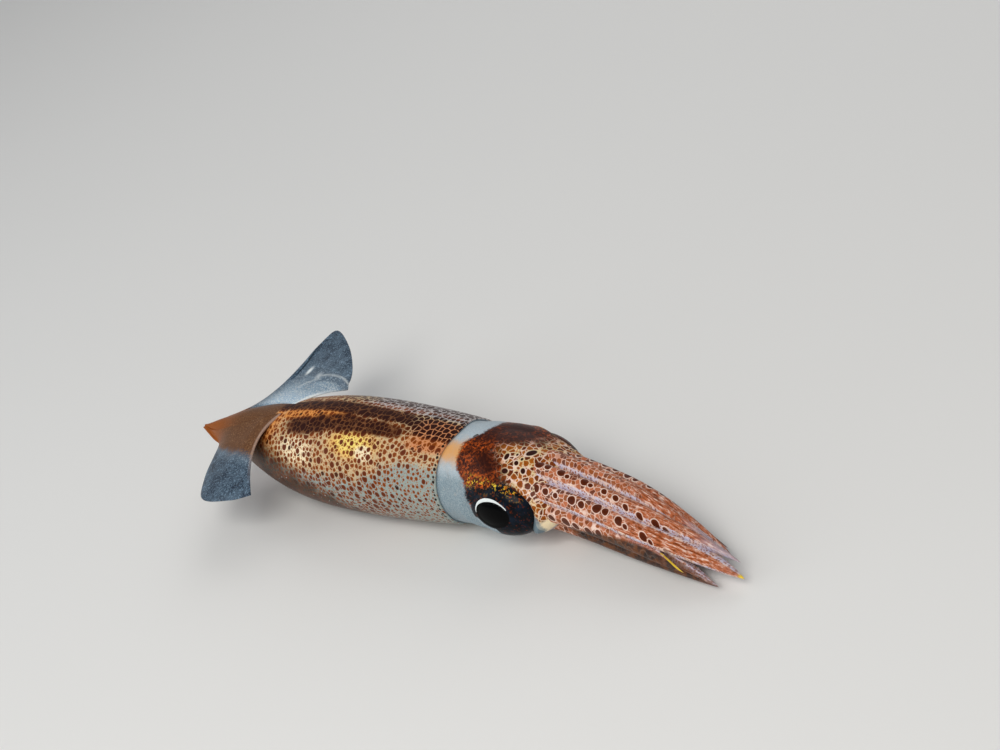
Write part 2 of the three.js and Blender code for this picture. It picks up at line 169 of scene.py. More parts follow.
def through(points, t):
    """A smooth curve through the points at shares t of it: a uniform Catmull-Rom spline."""
    points = np.asarray(points, float)
    last = len(points) - 1
    place = np.clip(t, 0, 1) * last
    span = np.minimum(place.astype(int), last - 1)
    f = (place - span)[..., None]
    p0, p1, p2, p3 = (points[np.clip(span + k, 0, last)] for k in (-1, 0, 1, 2))
    p0 = np.where((span == 0)[..., None], 2 * p1 - p2, p0)
    p3 = np.where((span == last - 1)[..., None], 2 * p2 - p1, p3)
    cubic = (3 * p1 - p0 - 3 * p2 + p3) * f**3
    return 0.5 * (2 * p1 + (p2 - p0) * f + (2 * p0 - 5 * p1 + 4 * p2 - p3) * f**2 + cubic)


def unit(vectors):
    """Vectors of length one in the same directions."""
    return vectors / (np.linalg.norm(vectors, axis=-1, keepdims=True) + 1e-12)


class Form:
    """The squid's shapes in millimetres, worked out from the sizes in the panel."""

    # Millimetres: the gap between the neck and the mouth's floor, the mouth's depth, the lip's
    # radius, and how much thinner the neck is than the collar.
    NECK_GAP, MOUTH_DEPTH, LIP, NECK_ROOM = 0.32, 3.6, 0.22, 0.49
    # The mantle's half width and half height as shares of its radius, the share of its length where
    # it is widest, and how many millimetres the belly flattens.
    WIDTH, HEIGHT, WIDEST, SINK = 1.02, 0.97, 0.68, 0.6

    def __init__(self, sizes):
        self.length = sizes.mantle_length / MM
        self.radius = sizes.mantle_radius / MM
        self.tail = sizes.tail_place / MM
        self.collar = self.tail + self.length
        self.head = self.collar + sizes.neck_shown / MM
        self.head_length = sizes.head_length / MM
        self.arm_root = sizes.arm_root / MM
        self.crown = sizes.crown / MM
        self.reach = sizes.arm_reach / MM
        self.thick = sizes.arm_thickness / MM
        self.middle = self.radius * self.HEIGHT - self.SINK

    def axis_z(self, share):
        """Height of the mantle's middle line: level, with the tail end lifted a little."""
        lift = 0.3 * np.clip(1 - share / 0.42, 0, 1) ** 1.6 + 0.8 * bell(share, 0.17, 0.1)
        return self.middle + lift - 0.3 * bell(share, 0.42, 0.16)

    def girth(self, share):
        """Mantle radius: (1 - b^2.4)^1.5 of the widest behind it, 1 - 0.105 f^1.8 ahead of it."""
        back = np.clip(1 - share / self.WIDEST, 0, 1)
        front = np.clip((share - self.WIDEST) / (1 - self.WIDEST), 0, 1)
        shape = np.where(share < self.WIDEST, (1 - back**2.4) ** 1.5, 1 - 0.105 * front**1.8)
        return self.radius * shape + 0.5 * bell(share, 0.06, 0.06)

    def collar_edge(self, angle):
        """The collar's edge: forward at the middle of the back, and back under the belly."""
        return 1.1 * bell(np.sin(angle / 2), 0, 0.2) - 1.3 * bell(np.cos(angle / 2), 0, 0.4)

    def mantle(self, share, angle, radius, trim=0.0):
        """An oval section at a share of the length, moved along by the collar's edge times trim."""
        return stacked(
            self.tail + self.length * share + trim * self.collar_edge(angle),
            self.WIDTH * radius * np.sin(angle),
            self.axis_z(share) + self.HEIGHT * radius * np.cos(angle))

    def fin(self, spec, u, v):
        """A fin's middle sheet: a quadratic arc from the root on the skin, out to the outline."""
        side = spec["side"]
        share = 0.004 + spec["root_end"] * u
        angle = np.radians(spec["root_angle"] + (90 - spec["root_angle"]) * (1 - u) ** 1.3)
        root = self.mantle(share, side * angle, self.girth(share) - 0.25)
        outline = [(self.tail + along, side * out, up) for along, out, up in spec["edge"]]
        tip = through(outline, u)
        lean = 0.38 * np.linalg.norm(tip - root, axis=-1)
        slope = spec["droop"] * angle
        bend = root + stacked(
            0.1 * (tip - root)[..., 0] - spec["hollow"] * u**3,
            side * lean * np.cos(slope), -lean * np.sin(slope))
        v = v[..., None]
        return (1 - v) ** 2 * root + 2 * v * (1 - v) * bend + v**2 * tip

    def head_skin(self, x, angle):
        """A barrel from the neck inside the collar to where the arms start, flatter underneath."""
        opened = smooth(x, -1.2, 1.6)
        front = np.clip((x - 5) / (self.head_length - 5), 0, 1)
        neck = float(self.girth(np.float64(1))) - self.NECK_ROOM
        width = self.WIDTH * neck + 0.3 * opened + 0.3 * bell(x, 8, 5) - 5.0 * front**2.6
        height = self.HEIGHT * neck + 0.328 * opened - 5.5 * front**1.85
        under = 1 - 0.2 * opened * np.clip(-np.cos(angle), 0, 1) ** 1.5
        swell = 0.7 * bell(x, 10.3, 5.5) * np.abs(np.sin(angle)) ** 3
        pocket = 1.6 * bell(x, 17, 3) * bell(np.abs(angle), 2.2, 0.6)
        return stacked(
            self.head + x,
            (width + swell + pocket) * np.sin(angle),
            self.axis_z(1.0) - 0.6 * front**1.5 + (height * under + pocket) * np.cos(angle))

    def bundle(self, x):
        """Middle line of the arm bundle: it swings to the right and sinks to the ground."""
        share = np.clip((x - self.crown) / self.reach, 0, 1.2)
        return stacked(
            self.head + x, -4.6 * share**1.7, self.axis_z(1.0) - 0.2 - 8.1 * share**1.35)

    def arm(self, spec, share, angle, thick):
        """A rounded section that follows the bundle, then swings out to the arm's own tip."""
        x = self.arm_root + (spec["tip"][0] - self.arm_root) * share
        turn = math.radians(spec["angle"])
        out = np.array((0, math.sin(turn), math.cos(turn)))
        across = np.array((0, math.cos(turn), -math.sin(turn)))
        swing = smooth(share, 0.5, 1)
        own = self.bundle(np.float64(spec["tip"][0]))
        away = np.array((0, spec["tip"][1] - own[1], spec["tip"][2] - own[2]))
        t = np.clip((x - self.crown) / self.reach, 0, 1.2)
        spread = 3.6 + 0.2 * bell(t, 0, 0.2) - 1.0 * t**4
        middle = self.bundle(x) + ((1 - swing) * spread * spec["reach"])[..., None] * out
        middle = middle + swing[..., None] * away
        taper = np.maximum(1 - share ** spec["blunt"], 0) ** 0.9
        square = 2 + 0.9 * (1 - swing)
        full = np.abs(np.cos(angle)) ** square + np.abs(np.sin(angle)) ** square
        size = taper * full ** (-1 / square)
        side = (spec["width"] * size * np.sin(angle))[..., None] * across
        return middle + (thick * size * np.cos(angle))[..., None] * out + side

    def eye_middle(self, side):
        """The middle of an eyeball."""
        return np.array((self.head + 10.3, side * 6.4, self.axis_z(1.0) - 0.7))


def along_rows(points):
    """Length walked from the first row to each row, down every column, in millimetres."""
    steps = np.linalg.norm(np.diff(points, axis=0), axis=-1)
    return np.concatenate([np.zeros((1, points.shape[1])), np.cumsum(steps, axis=0)])


def add_skin(name, points, place=None, values=None, ends=("point", "point")):
    """A closed mesh from a grid of points, each row a ring round the piece, or from many grids.

    An end is gathered into one point, or zipped: column k joins column n - k. Nothing reaches
    below the ground. Place gives each corner's two skin coordinates, with one column more than the
    points, and values gives numbers for each point, which become attributes.
    """
    points = points.reshape(-1, *points.shape[-3:]) * 1.0
    points[..., 2] = np.maximum(points[..., 2], 0)
    count, rows, columns = points.shape[:3]
    index = np.arange(count * rows * columns).reshape(count, rows, columns)
    for row, end in ((0, ends[0]), (rows - 1, ends[1])):
        ring = index[:, row]
        index[:, row] = ring[:, :1] if end == "point" else \
            np.minimum(ring, np.roll(ring[:, ::-1], 1, axis=1))
    wrapped = closed(index)
    corner = np.arange(count * rows * (columns + 1)).reshape(count, rows, columns + 1)

    def quads(grid):
        corners = [grid[:, :-1, :-1], grid[:, 1:, :-1], grid[:, 1:, 1:], grid[:, :-1, 1:]]
        return np.stack(corners, -1).reshape(-1, 4)

    faces, corners = quads(wrapped), quads(corner)
    first = faces[:, 0] == faces[:, 3]
    last = faces[:, 1] == faces[:, 2]
    whole = ~(first | last)
    parts = [(faces[whole], corners[whole])]
    parts += [(faces[keep][:, pick], corners[keep][:, pick])
              for keep, pick in ((first & ~last, (0, 1, 2)), (last & ~first, (0, 1, 3)))]
    used = np.unique(np.concatenate([part[0].ravel() for part in parts]))
    renumber = np.zeros(count * rows * columns, int)
    renumber[used] = np.arange(len(used))
    flat = points.reshape(-1, 3)[used]
    volume = sum(
        np.einsum("ij,ij->i", np.cross(flat[renumber[f[:, 0]]], flat[renumber[f[:, 1]]]),
                  flat[renumber[f[:, 2]]]).sum() * (2 if f.shape[1] == 4 else 1)
        for f, _ in parts)
    if volume < 0:
        parts = [(f[:, ::-1], c[:, ::-1]) for f, c in parts]
    mesh = bpy.data.meshes.new(name)
    mesh.from_pydata((flat * MM).tolist(), [], [face for f, _ in parts for face in renumber[f].tolist()])
    if place is not None:
        layer = mesh.uv_layers.new(name="skin")
        order = np.concatenate([c.ravel() for _, c in parts])
        layer.uv.foreach_set("vector", place.reshape(-1, 2)[order].astype(np.float32).ravel())
    for key, value in (values or {}).items():
        attribute = mesh.attributes.new(key, "FLOAT", "POINT")
        spread = np.broadcast_to(value, (count, rows, columns)).ravel()[used]
        attribute.data.foreach_set("value", spread.astype(np.float32))
    mesh.shade_smooth()
    piece = bpy.data.objects.new(name, mesh)
    bpy.context.scene.collection.objects.link(piece)
    return piece


def fit(piece, material, slot, *nodes):
    """Gives a piece its material, lets it ride on the body and hides the solids it stands for."""
    piece.data.materials.append(material)
    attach(piece, "root")
    if nodes:
        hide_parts(*nodes)


Spots = namedtuple("Spots", "cover inside distance radius held dice")


class Paint:
    """A material made of nodes. Each method adds nodes and returns the socket that they end in."""

    def __init__(self, name):
        self.material = bpy.data.materials.new(name)
        self.material.use_nodes = True
        self.nodes = self.material.node_tree.nodes
        self.links = self.material.node_tree.links
        self.nodes.clear()

    def add(self, kind, feeds=None, **settings):
        """A node of a kind, with its settings made and its inputs fed."""
        node = self.nodes.new("ShaderNode" + kind)
        for key, value in settings.items():
            setattr(node, key, value)
        for key, value in (feeds or {}).items():
            self.feed(node.inputs[key], value)
        return node

    def feed(self, socket, value):
        """Links an input to another socket, or sets its own value."""
        if isinstance(value, bpy.types.NodeSocket):
            self.links.new(value, socket)
        else:
            socket.default_value = value

    def math(self, operation, *values):
        """One sum, by the name of its operation."""
        return self.add("Math", dict(enumerate(values)), operation=operation).outputs[0]

    def times(self, *values):
        """The values multiplied together."""
        result = values[0]
        for value in values[1:]:
            result = self.math("MULTIPLY", result, value)
        return result

    def rest(self, value):
        """One minus the value."""
        return self.math("SUBTRACT", 1.0, value)

    def step(self, value, low, high, start=0.0, end=1.0):
        """Goes smoothly from start at low to end at high."""
        return self.add("MapRange", {0: value, 1: low, 2: high, 3: start, 4: end},
                        interpolation_type="SMOOTHSTEP").outputs[0]

    def hypot(self, first, second):
        """The square root of the sum of both squares."""
        return self.math("SQRT", self.math("ADD", self.times(first, first), self.times(second, second)))

    def clouded(self, value, cloud, spread):
        """The value moved up and down by a cloud, by half the spread each way."""
        return self.math("ADD", value, self.math("MULTIPLY_ADD", cloud, spread, -spread / 2))

    def zone(self, value, cloud, spread=0.5, low=0.2, high=0.8):
        """A zone's strength with its edge made cloudy."""
        return self.step(self.clouded(value, cloud, spread), low, high)

    def mix(self, factor, first, second):
        """The first colour where the factor is 0 and the second where it is 1."""
        node = self.add("Mix", {0: factor, 6: first, 7: second}, data_type="RGBA")
        return node.outputs[2]

    def blend(self, value, low, high, first, second):
        """The first colour where the value is at low and the second where it is at high."""
        return self.mix(self.step(value, low, high), first, second)

    def coats(self, skin, *coats):
        """The skin with coats laid over it in turn, each one a factor and a colour."""
        for factor, coat in coats:
            skin = self.mix(factor, skin, coat)
        return skin

    def value(self, name):
        """A piece's own attribute."""
        return self.add("Attribute", attribute_name=name).outputs["Fac"]

    def skin(self):
        """The two skin coordinates in millimetres."""
        return self.add("UVMap", uv_map="skin").outputs[0]

    def solid(self):
        """Object coordinates in millimetres."""
        place = self.add("TexCoord").outputs["Object"]
        return self.add("VectorMath", {0: place, 3: 1 / MM}, operation="SCALE").outputs[0]

    def parts(self, place):
        """A place's coordinates one by one."""
        return self.add("SeparateXYZ", {0: place}).outputs

    def noise(self, place, size, detail=2.0, rough=0.5):
        """Cloudy values round a half, with blotches of about the given size in millimetres."""
        feeds = {"Vector": place, "Scale": 1 / size, "Detail": detail, "Roughness": rough}
        return self.add("TexNoise", feeds).outputs[0]

    def shift(self, place, offset):
        """The place moved by an offset."""
        return self.add("VectorMath", {0: place, 1: offset}, operation="ADD").outputs[0]

    def warped(self, place, size, amount):
        """The place, pushed about by cloudy noise of that size by up to about the amount."""
        cloud = self.add("TexNoise", {"Vector": place, "Scale": 1 / size, "Detail": 1.0}).outputs[1]
        push = self.add("VectorMath", {0: cloud, 1: (0.5, 0.5, 0.5)}, operation="SUBTRACT").outputs[0]
        push = self.add("VectorMath", {0: push, 3: 2 * amount}, operation="SCALE").outputs[0]
        return self.add("VectorMath", {0: place, 1: push}, operation="ADD").outputs[0]

    def spots(self, place, spacing, small, large, seed, amount=1.0, crowd=1.0, line=0.06,
              soft=0.05, flat=True, shear=None, even=0.8):
        """Round pigment spots, one to a cell of an uneven grid, never touching.

        A spot's radius lies between small and large, as shares of the spacing, times crowd. Amount
        is the share of the cells that hold one, and line is half the bare width between two spots.
        Shear is how far the skin coordinates slide per millimetre along the body, and is taken out
        of the distance. Returns how covered the skin is, the millimetres inside the rim, the
        distance from the spot's middle, its radius, whether the cell holds one, and a random number
        for the spot.
        """
        place = self.shift(place, (seed * 17.3, seed * 9.1, seed * 5.7))
        size = dict(voronoi_dimensions="2D" if flat else "3D")
        feeds = {"Vector": place, "Scale": 1 / spacing, "Randomness": even}
        cell = self.add("TexVoronoi", feeds, **size)
        edge = self.add("TexVoronoi", feeds, feature="DISTANCE_TO_EDGE", **size).outputs["Distance"]
        if shear is None:
            distance = self.times(cell.outputs["Distance"], spacing)
        else:
            gap = self.add("VectorMath", {0: place, 1: cell.outputs["Position"]}, operation="SUBTRACT")
            parts = self.parts(gap.outputs[0])
            across = self.math("SUBTRACT", parts[0], self.times(shear, parts[1]))
            distance = self.hypot(across, parts[1])
        dice = self.add("SeparateColor", {0: cell.outputs["Color"]}).outputs
        radius = self.times(self.math(
            "MULTIPLY_ADD", dice[0], (large - small) * spacing, small * spacing), crowd)
        inside = self.math("SUBTRACT", radius, distance)
        room = self.math("SUBTRACT", self.times(edge, spacing), line)
        cover = self.step(self.math("MINIMUM", inside, room), -soft, soft)
        held = self.math("LESS_THAN", dice[1], amount)
        return Spots(self.times(cover, held), inside, distance, radius, held, dice[2])

    def out(self, spots):
        """How far out from a spot's middle the skin lies, as a share of the spot's radius."""
        return self.math("DIVIDE", spots.distance, self.math("MAXIMUM", spots.radius, 0.01))

    def outside(self, spots):
        """Millimetres outside a spot's rim, and far where the cell holds no spot."""
        bare = self.step(spots.held, 0.0, 1.0, FAR, 0.0)
        return self.math("MAXIMUM", self.times(spots.inside, -1.0), bare)

    def dots(self, along, off, spacing, small, large, seed, uneven, soft=0.06):
        """One row of round spots, for millimetres along the row and off it; radii in millimetres.

        Returns how covered the skin is, and the millimetres outside the nearest spot's rim.
        """
        feeds = {"W": self.math("MULTIPLY_ADD", along, 1 / spacing, seed * 7.7), "Scale": 1.0,
                 "Randomness": 0.55}
        cell = self.add("TexVoronoi", feeds, voronoi_dimensions="1D")
        dice = self.add("SeparateColor", {0: cell.outputs["Color"]}).outputs
        length = self.times(cell.outputs["Distance"], spacing)
        aside = self.math("SUBTRACT", off, self.math("MULTIPLY_ADD", dice[1], 2 * uneven, -uneven))
        outside = self.math("SUBTRACT", self.hypot(length, aside), self.math(
            "MULTIPLY_ADD", dice[0], large - small, small))
        return self.step(outside, soft, -soft), outside

    def bump(self, height, strength, distance):
        """The normal of a surface raised by the height times the distance, in millimetres."""
        feeds = {"Height": height, "Strength": strength, "Distance": distance * MM}
        return self.add("Bump", feeds).outputs[0]

    def finish(self, colour, normal, **look):
        """Ends the material in one skin shader and returns the material."""
        shader = self.add("BsdfPrincipled", {"Base Color": colour, "Normal": normal})
        for key, value in look.items():
            self.feed(shader.inputs[key.replace("_", " ")], value)
        out = self.add("OutputMaterial")
        self.links.new(shader.outputs[0], out.inputs[0])
        return self.material

    def wet(self, skin, sunk, fine):
        """Ends the material as a wet skin, with its spots sunk among fine wrinkles."""
        height = self.math("ADD", sunk, self.times(fine, 0.6))
        return self.finish(skin, self.bump(height, 0.35, 0.08), **WET)


WET = {
    "Roughness": 0.42, "Specular_IOR_Level": 0.08, "Coat_Weight": 0.07, "Coat_Roughness": 0.07,
    "Subsurface_Weight": 0.04, "Subsurface_Radius": (0.9, 0.5, 0.3), "Subsurface_Scale": 0.2 * MM,
}


def linear(red, green, blue):
    """A colour given as 0 to 255 on a screen, as the linear values that shaders use."""
    share = [value / 255 for value in (red, green, blue)]
    return tuple(v / 12.92 if v <= 0.04045 else ((v + 0.055) / 1.055) ** 2.4 for v in share)


def colour(name, description, red, green, blue):
    """A colour property with its default given as on a screen."""
    return FloatVectorProperty(
        name=name, description=description, subtype="COLOR", size=3, min=0, max=1,
        default=linear(red, green, blue))


def length(name, description, millimetres):
    """A length property with its default given in millimetres."""
    return FloatProperty(
        name=name, description=description, unit="LENGTH", default=millimetres * MM)


class SquidSizes(bpy.types.PropertyGroup):
    mantle_length: length("Mantle length", "From the tail tip to the collar", 71.4)
    mantle_radius: length("Mantle radius", "Half the mantle's width where it is widest", 10.3)
    tail_place: length("Tail place", "Where the tail tip lies along the body", -51)
    neck_shown: length("Neck shown", "The pale neck between the collar and the head", 2.6)
    head_length: length("Head length", "From the head's back edge to where the arms start", 21)
    arm_root: length("Arm root", "Where the arms start inside the head", 9)
    crown: length("Crown", "Where the bundle of arms starts to bend", 13)
    arm_reach: length("Arm reach", "From there to the arm tips", 42.5)
    arm_thickness: length("Arm thickness", "Half, away from the bundle's middle", 2.5)
    fin_root: length("Fin root", "Thickness of a fin where it leaves the body", 1.6)
    fin_edge: length("Fin edge", "Thickness of a fin near its edge", 0.4)
    eye_length: length("Eye length", "Half the length of an eyeball along the head", 6.8)
    eye_depth: length("Eye depth", "Half its depth into the head", 3.6)
    eye_height: length("Eye height", "Half its height", 5.1)
    sucker: length("Sucker", "Radius of the largest suckers", 0.42)


class SkinColours(bpy.types.PropertyGroup):
    cool: colour("Cool skin", "Blue-grey skin of the flank", 156, 168, 162)
    buff: colour("Buff skin", "Warm grey skin of the upper side", 210, 182, 140)
    # Painted highlight: the palest patches of the flank and the bright patch by the arm bases.
    highlight_cream: colour("Cream skin", "Palest patch of the flank", 255, 236, 196)
    # The gland's gold seen through the skin, brightened at the patch's middle as a painted highlight.
    gold: colour("Gold skin", "Golden patch of the flank", 255, 226, 122)
    amber: colour("Amber skin", "Orange skin beside the dark stripe", 232, 152, 78)
    blush: colour("Blush", "Reddish skin near the collar", 214, 142, 96)
    ash: colour("Ash skin", "Pale pink-grey skin of the back near the collar", 200, 192, 190)
    umber: colour("Umber", "Brown skin under the dark stripe", 116, 62, 26)
    # Painted shade: the dark brown-grey of the mantle's lower flank and of the lower arms, also used for grain
    # and mottle.
    shade_brown: colour("Dusk skin", "Brown-grey skin low on the flank", 70, 56, 42)
    tail: colour("Tail skin", "Brown skin over the tail", 120, 80, 50)
    tip: colour("Tail tip", "Orange tip of the tail", 156, 84, 26)
    maroon: colour("Maroon", "Dark pigment of the back", 46, 14, 6)
    spot: colour("Spot", "Middle of an open pigment spot", 98, 38, 5)
    rim: colour("Spot rim", "Rim of an open pigment spot", 146, 72, 14)
    orange: colour("Small spot", "Smallest pigment spots", 194, 116, 36)
    closed: colour("Closed spot", "Small dark pigment spots", 36, 18, 8)
    neck: colour("Neck", "Pale blue neck", 168, 182, 190)
    # Also painted shade low on the neck and the blue-grey edge of a painted highlight by the arm bases.
    haze: colour("Haze", "Blue-grey neck beside the eye", 120, 140, 150)
    sand: colour("Sand", "Orange patch of the neck", 220, 164, 104)
    straw: colour("Straw", "Pale lines between spots on the head", 226, 200, 150)
    crackle: colour("Crackle", "Orange lines on the dark head", 196, 88, 28)
    lilac: colour("Lilac", "Pale skin between the arms", 208, 204, 222)
    # Also the painted highlight streaks on the far halves of the arms.
    pink: colour("Pink", "Pale lines between spots on the arms", 240, 212, 196)
    flesh: colour("Arm flesh", "Pink-orange skin of the arms", 184, 102, 62)
    # Part of the painted shade over the lower arms.
    slate: colour("Slate", "Grey-black mottling of the lower arms", 40, 36, 34)
    ink: colour("Ink", "Dark skin over the eye", 15, 18, 23)
    film: colour("Fin film", "Thin clear part of a fin", 26, 44, 64)
    milk: colour("Fin milk", "Milky part of a fin near its root", 160, 192, 216)
    # Also the painted glints low on the flank.
    silver: colour("Silver", "Bright fold over the pupil", 232, 238, 238)
    yellow: colour("Yellow", "Bright flecks and arm tips", 244, 208, 62)
    floor: colour("Floor", "The floor under the squid", 232, 231, 228)


def tones():
    """The panel's colours by name, each with an alpha of one."""
    group = bpy.context.scene.squid_colours
    return {key: (*getattr(group, key), 1.0) for key in SkinColours.__annotations__}


def tail_skin(paint, tone, grain, fine, tip):
    """Brown skin over the tail with pale grains, and orange towards its tip."""
    return paint.coats(
        paint.mix(grain, paint.mix(0.5, tone["tail"], tone["closed"]), tone["tail"]),
        (paint.times(paint.step(fine, 0.6, 0.72), 0.35), tone["buff"]),
        (paint.times(tip, paint.step(fine, 0.25, 0.5, 0.5, 1.0)), tone["tip"]))


def ink_skin(paint, tone, cloud):
    """Black skin round the pupil, clouded with blue."""
    return paint.blend(cloud, 0.4, 0.7, tone["ink"], paint.mix(0.4, tone["ink"], tone["film"]))


def glint(paint, tone, cloud):
    """Bright flecks over the eye, orange to yellow."""
    return paint.blend(cloud, 0.4, 0.6, tone["crackle"], tone["yellow"])


def mantle_material(tone):
    """Wet skin with three sizes of pigment spot over a ground that changes along and round it, with painted
    highlights, painted glints and painted shade low on the flank.
    """
    paint = Paint("mantle_skin")
    place, shear = paint.skin(), paint.value("shear")
    field = {key: paint.value(key) for key in (
        "buff", "highlight_cream", "gold", "amber", "blush", "ash", "dark", "deep", "shade_brown", "tail", "tip",
        "crowd", "large", "painted_glint", "lip")}
    cloud = paint.noise(place, 3.0, 4.0, 0.65)
    fine = paint.noise(place, 0.32, 2.0, 0.7)
    grain = paint.step(fine, 0.38, 0.62)
    warp = paint.warped(place, 0.9, 0.1)

    deep = paint.zone(field["deep"], cloud, 0.6, 0.15, 0.85)
    dark = paint.zone(field["dark"], cloud, 0.9)
    # Painted shade over the lower flank and the underside.
    shade_brown = paint.zone(field["shade_brown"], cloud, 0.9, 0.1, 0.95)
    # The golden patch: the gland's gold seen through the skin, with its brighter middle a painted highlight.
    glow = paint.blend(field["gold"], 0.45, 1.15, paint.mix(0.5, tone["gold"], tone["amber"]), tone["gold"])
    ground = paint.coats(
        tone["cool"],
        *((paint.zone(field[key], cloud, 0.7), tone[key]) for key in ("buff", "amber", "blush", "ash")),
        (paint.zone(field["gold"], cloud, 0.5, 0.05, 0.9), glow),
        # Painted highlight: the palest patches of the flank.
        (paint.zone(field["highlight_cream"], cloud, 0.7), tone["highlight_cream"]),
        (paint.times(dark, 0.92), tone["umber"]),
        (paint.times(paint.rest(grain), 0.2), tone["shade_brown"]),
        # Painted shade laid over the lower flank and the underside.
        (paint.times(shade_brown, 0.9), tone["shade_brown"]))

    packed = dict(crowd=field["crowd"], shear=shear)
    big = paint.spots(warp, 2.0, 0.21, 0.32, 3, field["large"], line=0.1, **packed)
    mid = paint.spots(warp, 1.1, 0.29, 0.45, 7, line=0.07, even=0.72, **packed)
    tiny = paint.spots(warp, 0.58, 0.22, 0.4, 11, 0.85, line=0.05, **packed)
    # Painted glints: tiny silver dots low on the flank.
    painted_glint = paint.spots(place, 1.7, 0.03, 0.06, 23, 0.3)

    def pigment(layer, inner, outer, dark_share):
        """A spot's colour from its middle to its rim, with a share of the spots closed and dark."""
        body = paint.blend(paint.out(layer), 0.35, 1.0, inner, outer)
        body = paint.blend(layer.dice, 1 - dark_share, 1.08 - dark_share, body, tone["closed"])
        return paint.mix(deep, body, tone["maroon"])

    clear_big = paint.step(paint.outside(big), 0.07, 0.18)
    clear_mid = paint.step(paint.outside(mid), 0.04, 0.12)
    axes = paint.parts(warp)
    off = paint.math("SUBTRACT", axes[1], COLLAR_ROW)
    row, beside_row = paint.dots(axes[0], off, 1.05, 0.18, 0.3, 3, 0.12, 0.05)
    skin = paint.coats(
        ground,
        (paint.times(tiny.cover, clear_big, clear_mid, 0.85),
         pigment(tiny, tone["rim"], tone["orange"], 0.05)),
        (paint.times(mid.cover, clear_big),
         pigment(mid, paint.mix(0.5, tone["spot"], tone["rim"]), tone["rim"], 0.06)),
        (big.cover, pigment(big, tone["spot"], paint.mix(0.3, tone["spot"], tone["rim"]), 0.08)),
        # Dark mottle within the painted shade low on the flank.
        (paint.times(shade_brown, paint.step(cloud, 0.3, 0.6, 0.3, 0.75)),
         paint.mix(grain, tone["closed"], tone["shade_brown"])),
        (paint.times(dark, paint.step(cloud, 0.38, 0.62, 0.05, 0.45)), tone["maroon"]),
        (paint.times(paint.step(beside_row, 0.3, 0.06, 0.0, 0.8), paint.rest(deep)), ground),
        (row, tone["closed"]),
        # Painted glints low on the flank.
        (paint.times(painted_glint.cover, field["painted_glint"]), tone["silver"]),
        (field["tail"], tail_skin(paint, tone, grain, fine, field["tip"])),
        (field["lip"], tone["neck"]))
    return paint.wet(skin, paint.times(big.cover, -0.4), fine)


def mantle_fields(share, angle):
    """The ground and the pigment by place, as steps and bells in share of the length and degrees, with the
    painted highlights, glints and shade among them.
    """
    right = -np.degrees(angle)
    side = np.abs(right)
    border = 0.368 - 0.043 * smooth(right, 5, 90) + 0.017 * smooth(-right, 5, 30)
    middle = -4 + 4 * smooth(share, 0.5, 0.82) + 5 * smooth(share, 0.82, 0.97)
    stripe = plateau(right, middle, 2, 13)
    ends = smooth(share, 0.4, 0.5) * (1 - smooth(share, 0.8, 0.92))
    lower = 25 - 8 * smooth(share, 0.52, 0.66)
    smudge = plateau(right, lower, 4 - 2 * smooth(share, 0.62, 0.8), 13) * ends
    twin = 0.6 * plateau(right, -50, 4, 12) * ends
    collar = smooth(share, 0.8, 0.92)
    net = collar * plateau(right, 2, 12, 12)
    # Painted shade: the lower flank, darker towards the rear.
    low = smooth(side - 50 - 170 * (share - 0.36), -24, 32) * (1 - smooth(share, 0.6, 0.8))
    under = smooth(side, 118, 145)
    bare = smooth(share, 0.78, 0.9) * smooth(side, 36, 56)
    amber = plateau(right, 10.5, 3, 10) * smooth(share, 0.37, 0.43) * (1 - smooth(share, 0.6, 0.76))
    # The golden patch, partly the gland seen through the skin and partly painted highlight at its middle.
    gold = 1.3 * bell(share, 0.72, 0.08) * np.maximum(bell(right, 38, 14), 0.5 * bell(right, -60, 12))
    hem = bell(share - border, 0.015, 0.05) * (1 - smooth(side, 46, 80))
    edge = 20 * smooth(share, 0.72, 0.9)
    # Painted highlights on the flank, the second one the brightest.
    highlight_cream = np.maximum(bell(share, 0.51, 0.08) * bell(side, 53, 16),
                       1.3 * bell(share, 0.765, 0.03) * bell(side, 46, 8))
    crowd = 1.04 + 0.5 * stripe + 0.4 * smudge + 0.3 * net - 0.32 * bare - 0.15 * under
    crowd = crowd + 0.2 * smooth(-right, 14, 34) - 0.2 * gold - 0.15 * amber
    ash = np.maximum(smooth(share, 0.56, 0.78) * (1 - smooth(right, -16, -4)),
                     smooth(share, 0.84, 0.95) * (1 - smooth(right, -18, -4)))
    back = 0.75 * smooth(-right, 10, 24) * smooth(share, 0.46, 0.64) * (1 - smooth(side, 70, 100))
    large = 0.25 + 0.6 * smooth(right, 20, 38) * (1 - 0.7 * bare) + 0.5 * stripe * (1 - collar)
    return dict(
        buff=1 - smooth(side, 48 - edge, 98 - 1.5 * edge), highlight_cream=highlight_cream, gold=gold,
        amber=np.maximum(0.85 * amber, 0.7 * hem),
        blush=0.9 * smooth(share, 0.82, 0.95) * plateau(right, 14, 14, 14), ash=ash,
        dark=np.maximum(np.maximum(stripe * (1 - 0.75 * collar), smudge), twin),
        deep=np.clip(np.max([stripe, 0.85 * smudge, 0.85 * net, twin, back], axis=0), 0, 1),
        # The painted shade low on the flank, taking in the underside.
        shade_brown=np.clip(low + 0.3 * under, 0, 1), tail=1 - smooth(share - border, -0.006, 0.006),
        tip=1 - smooth(share, 0.04, 0.24), crowd=crowd, large=large * (1 - 0.6 * low) * (1 - 0.9 * net),
        # Where the painted glints lie.
        painted_glint=smooth(side, 66, 90))


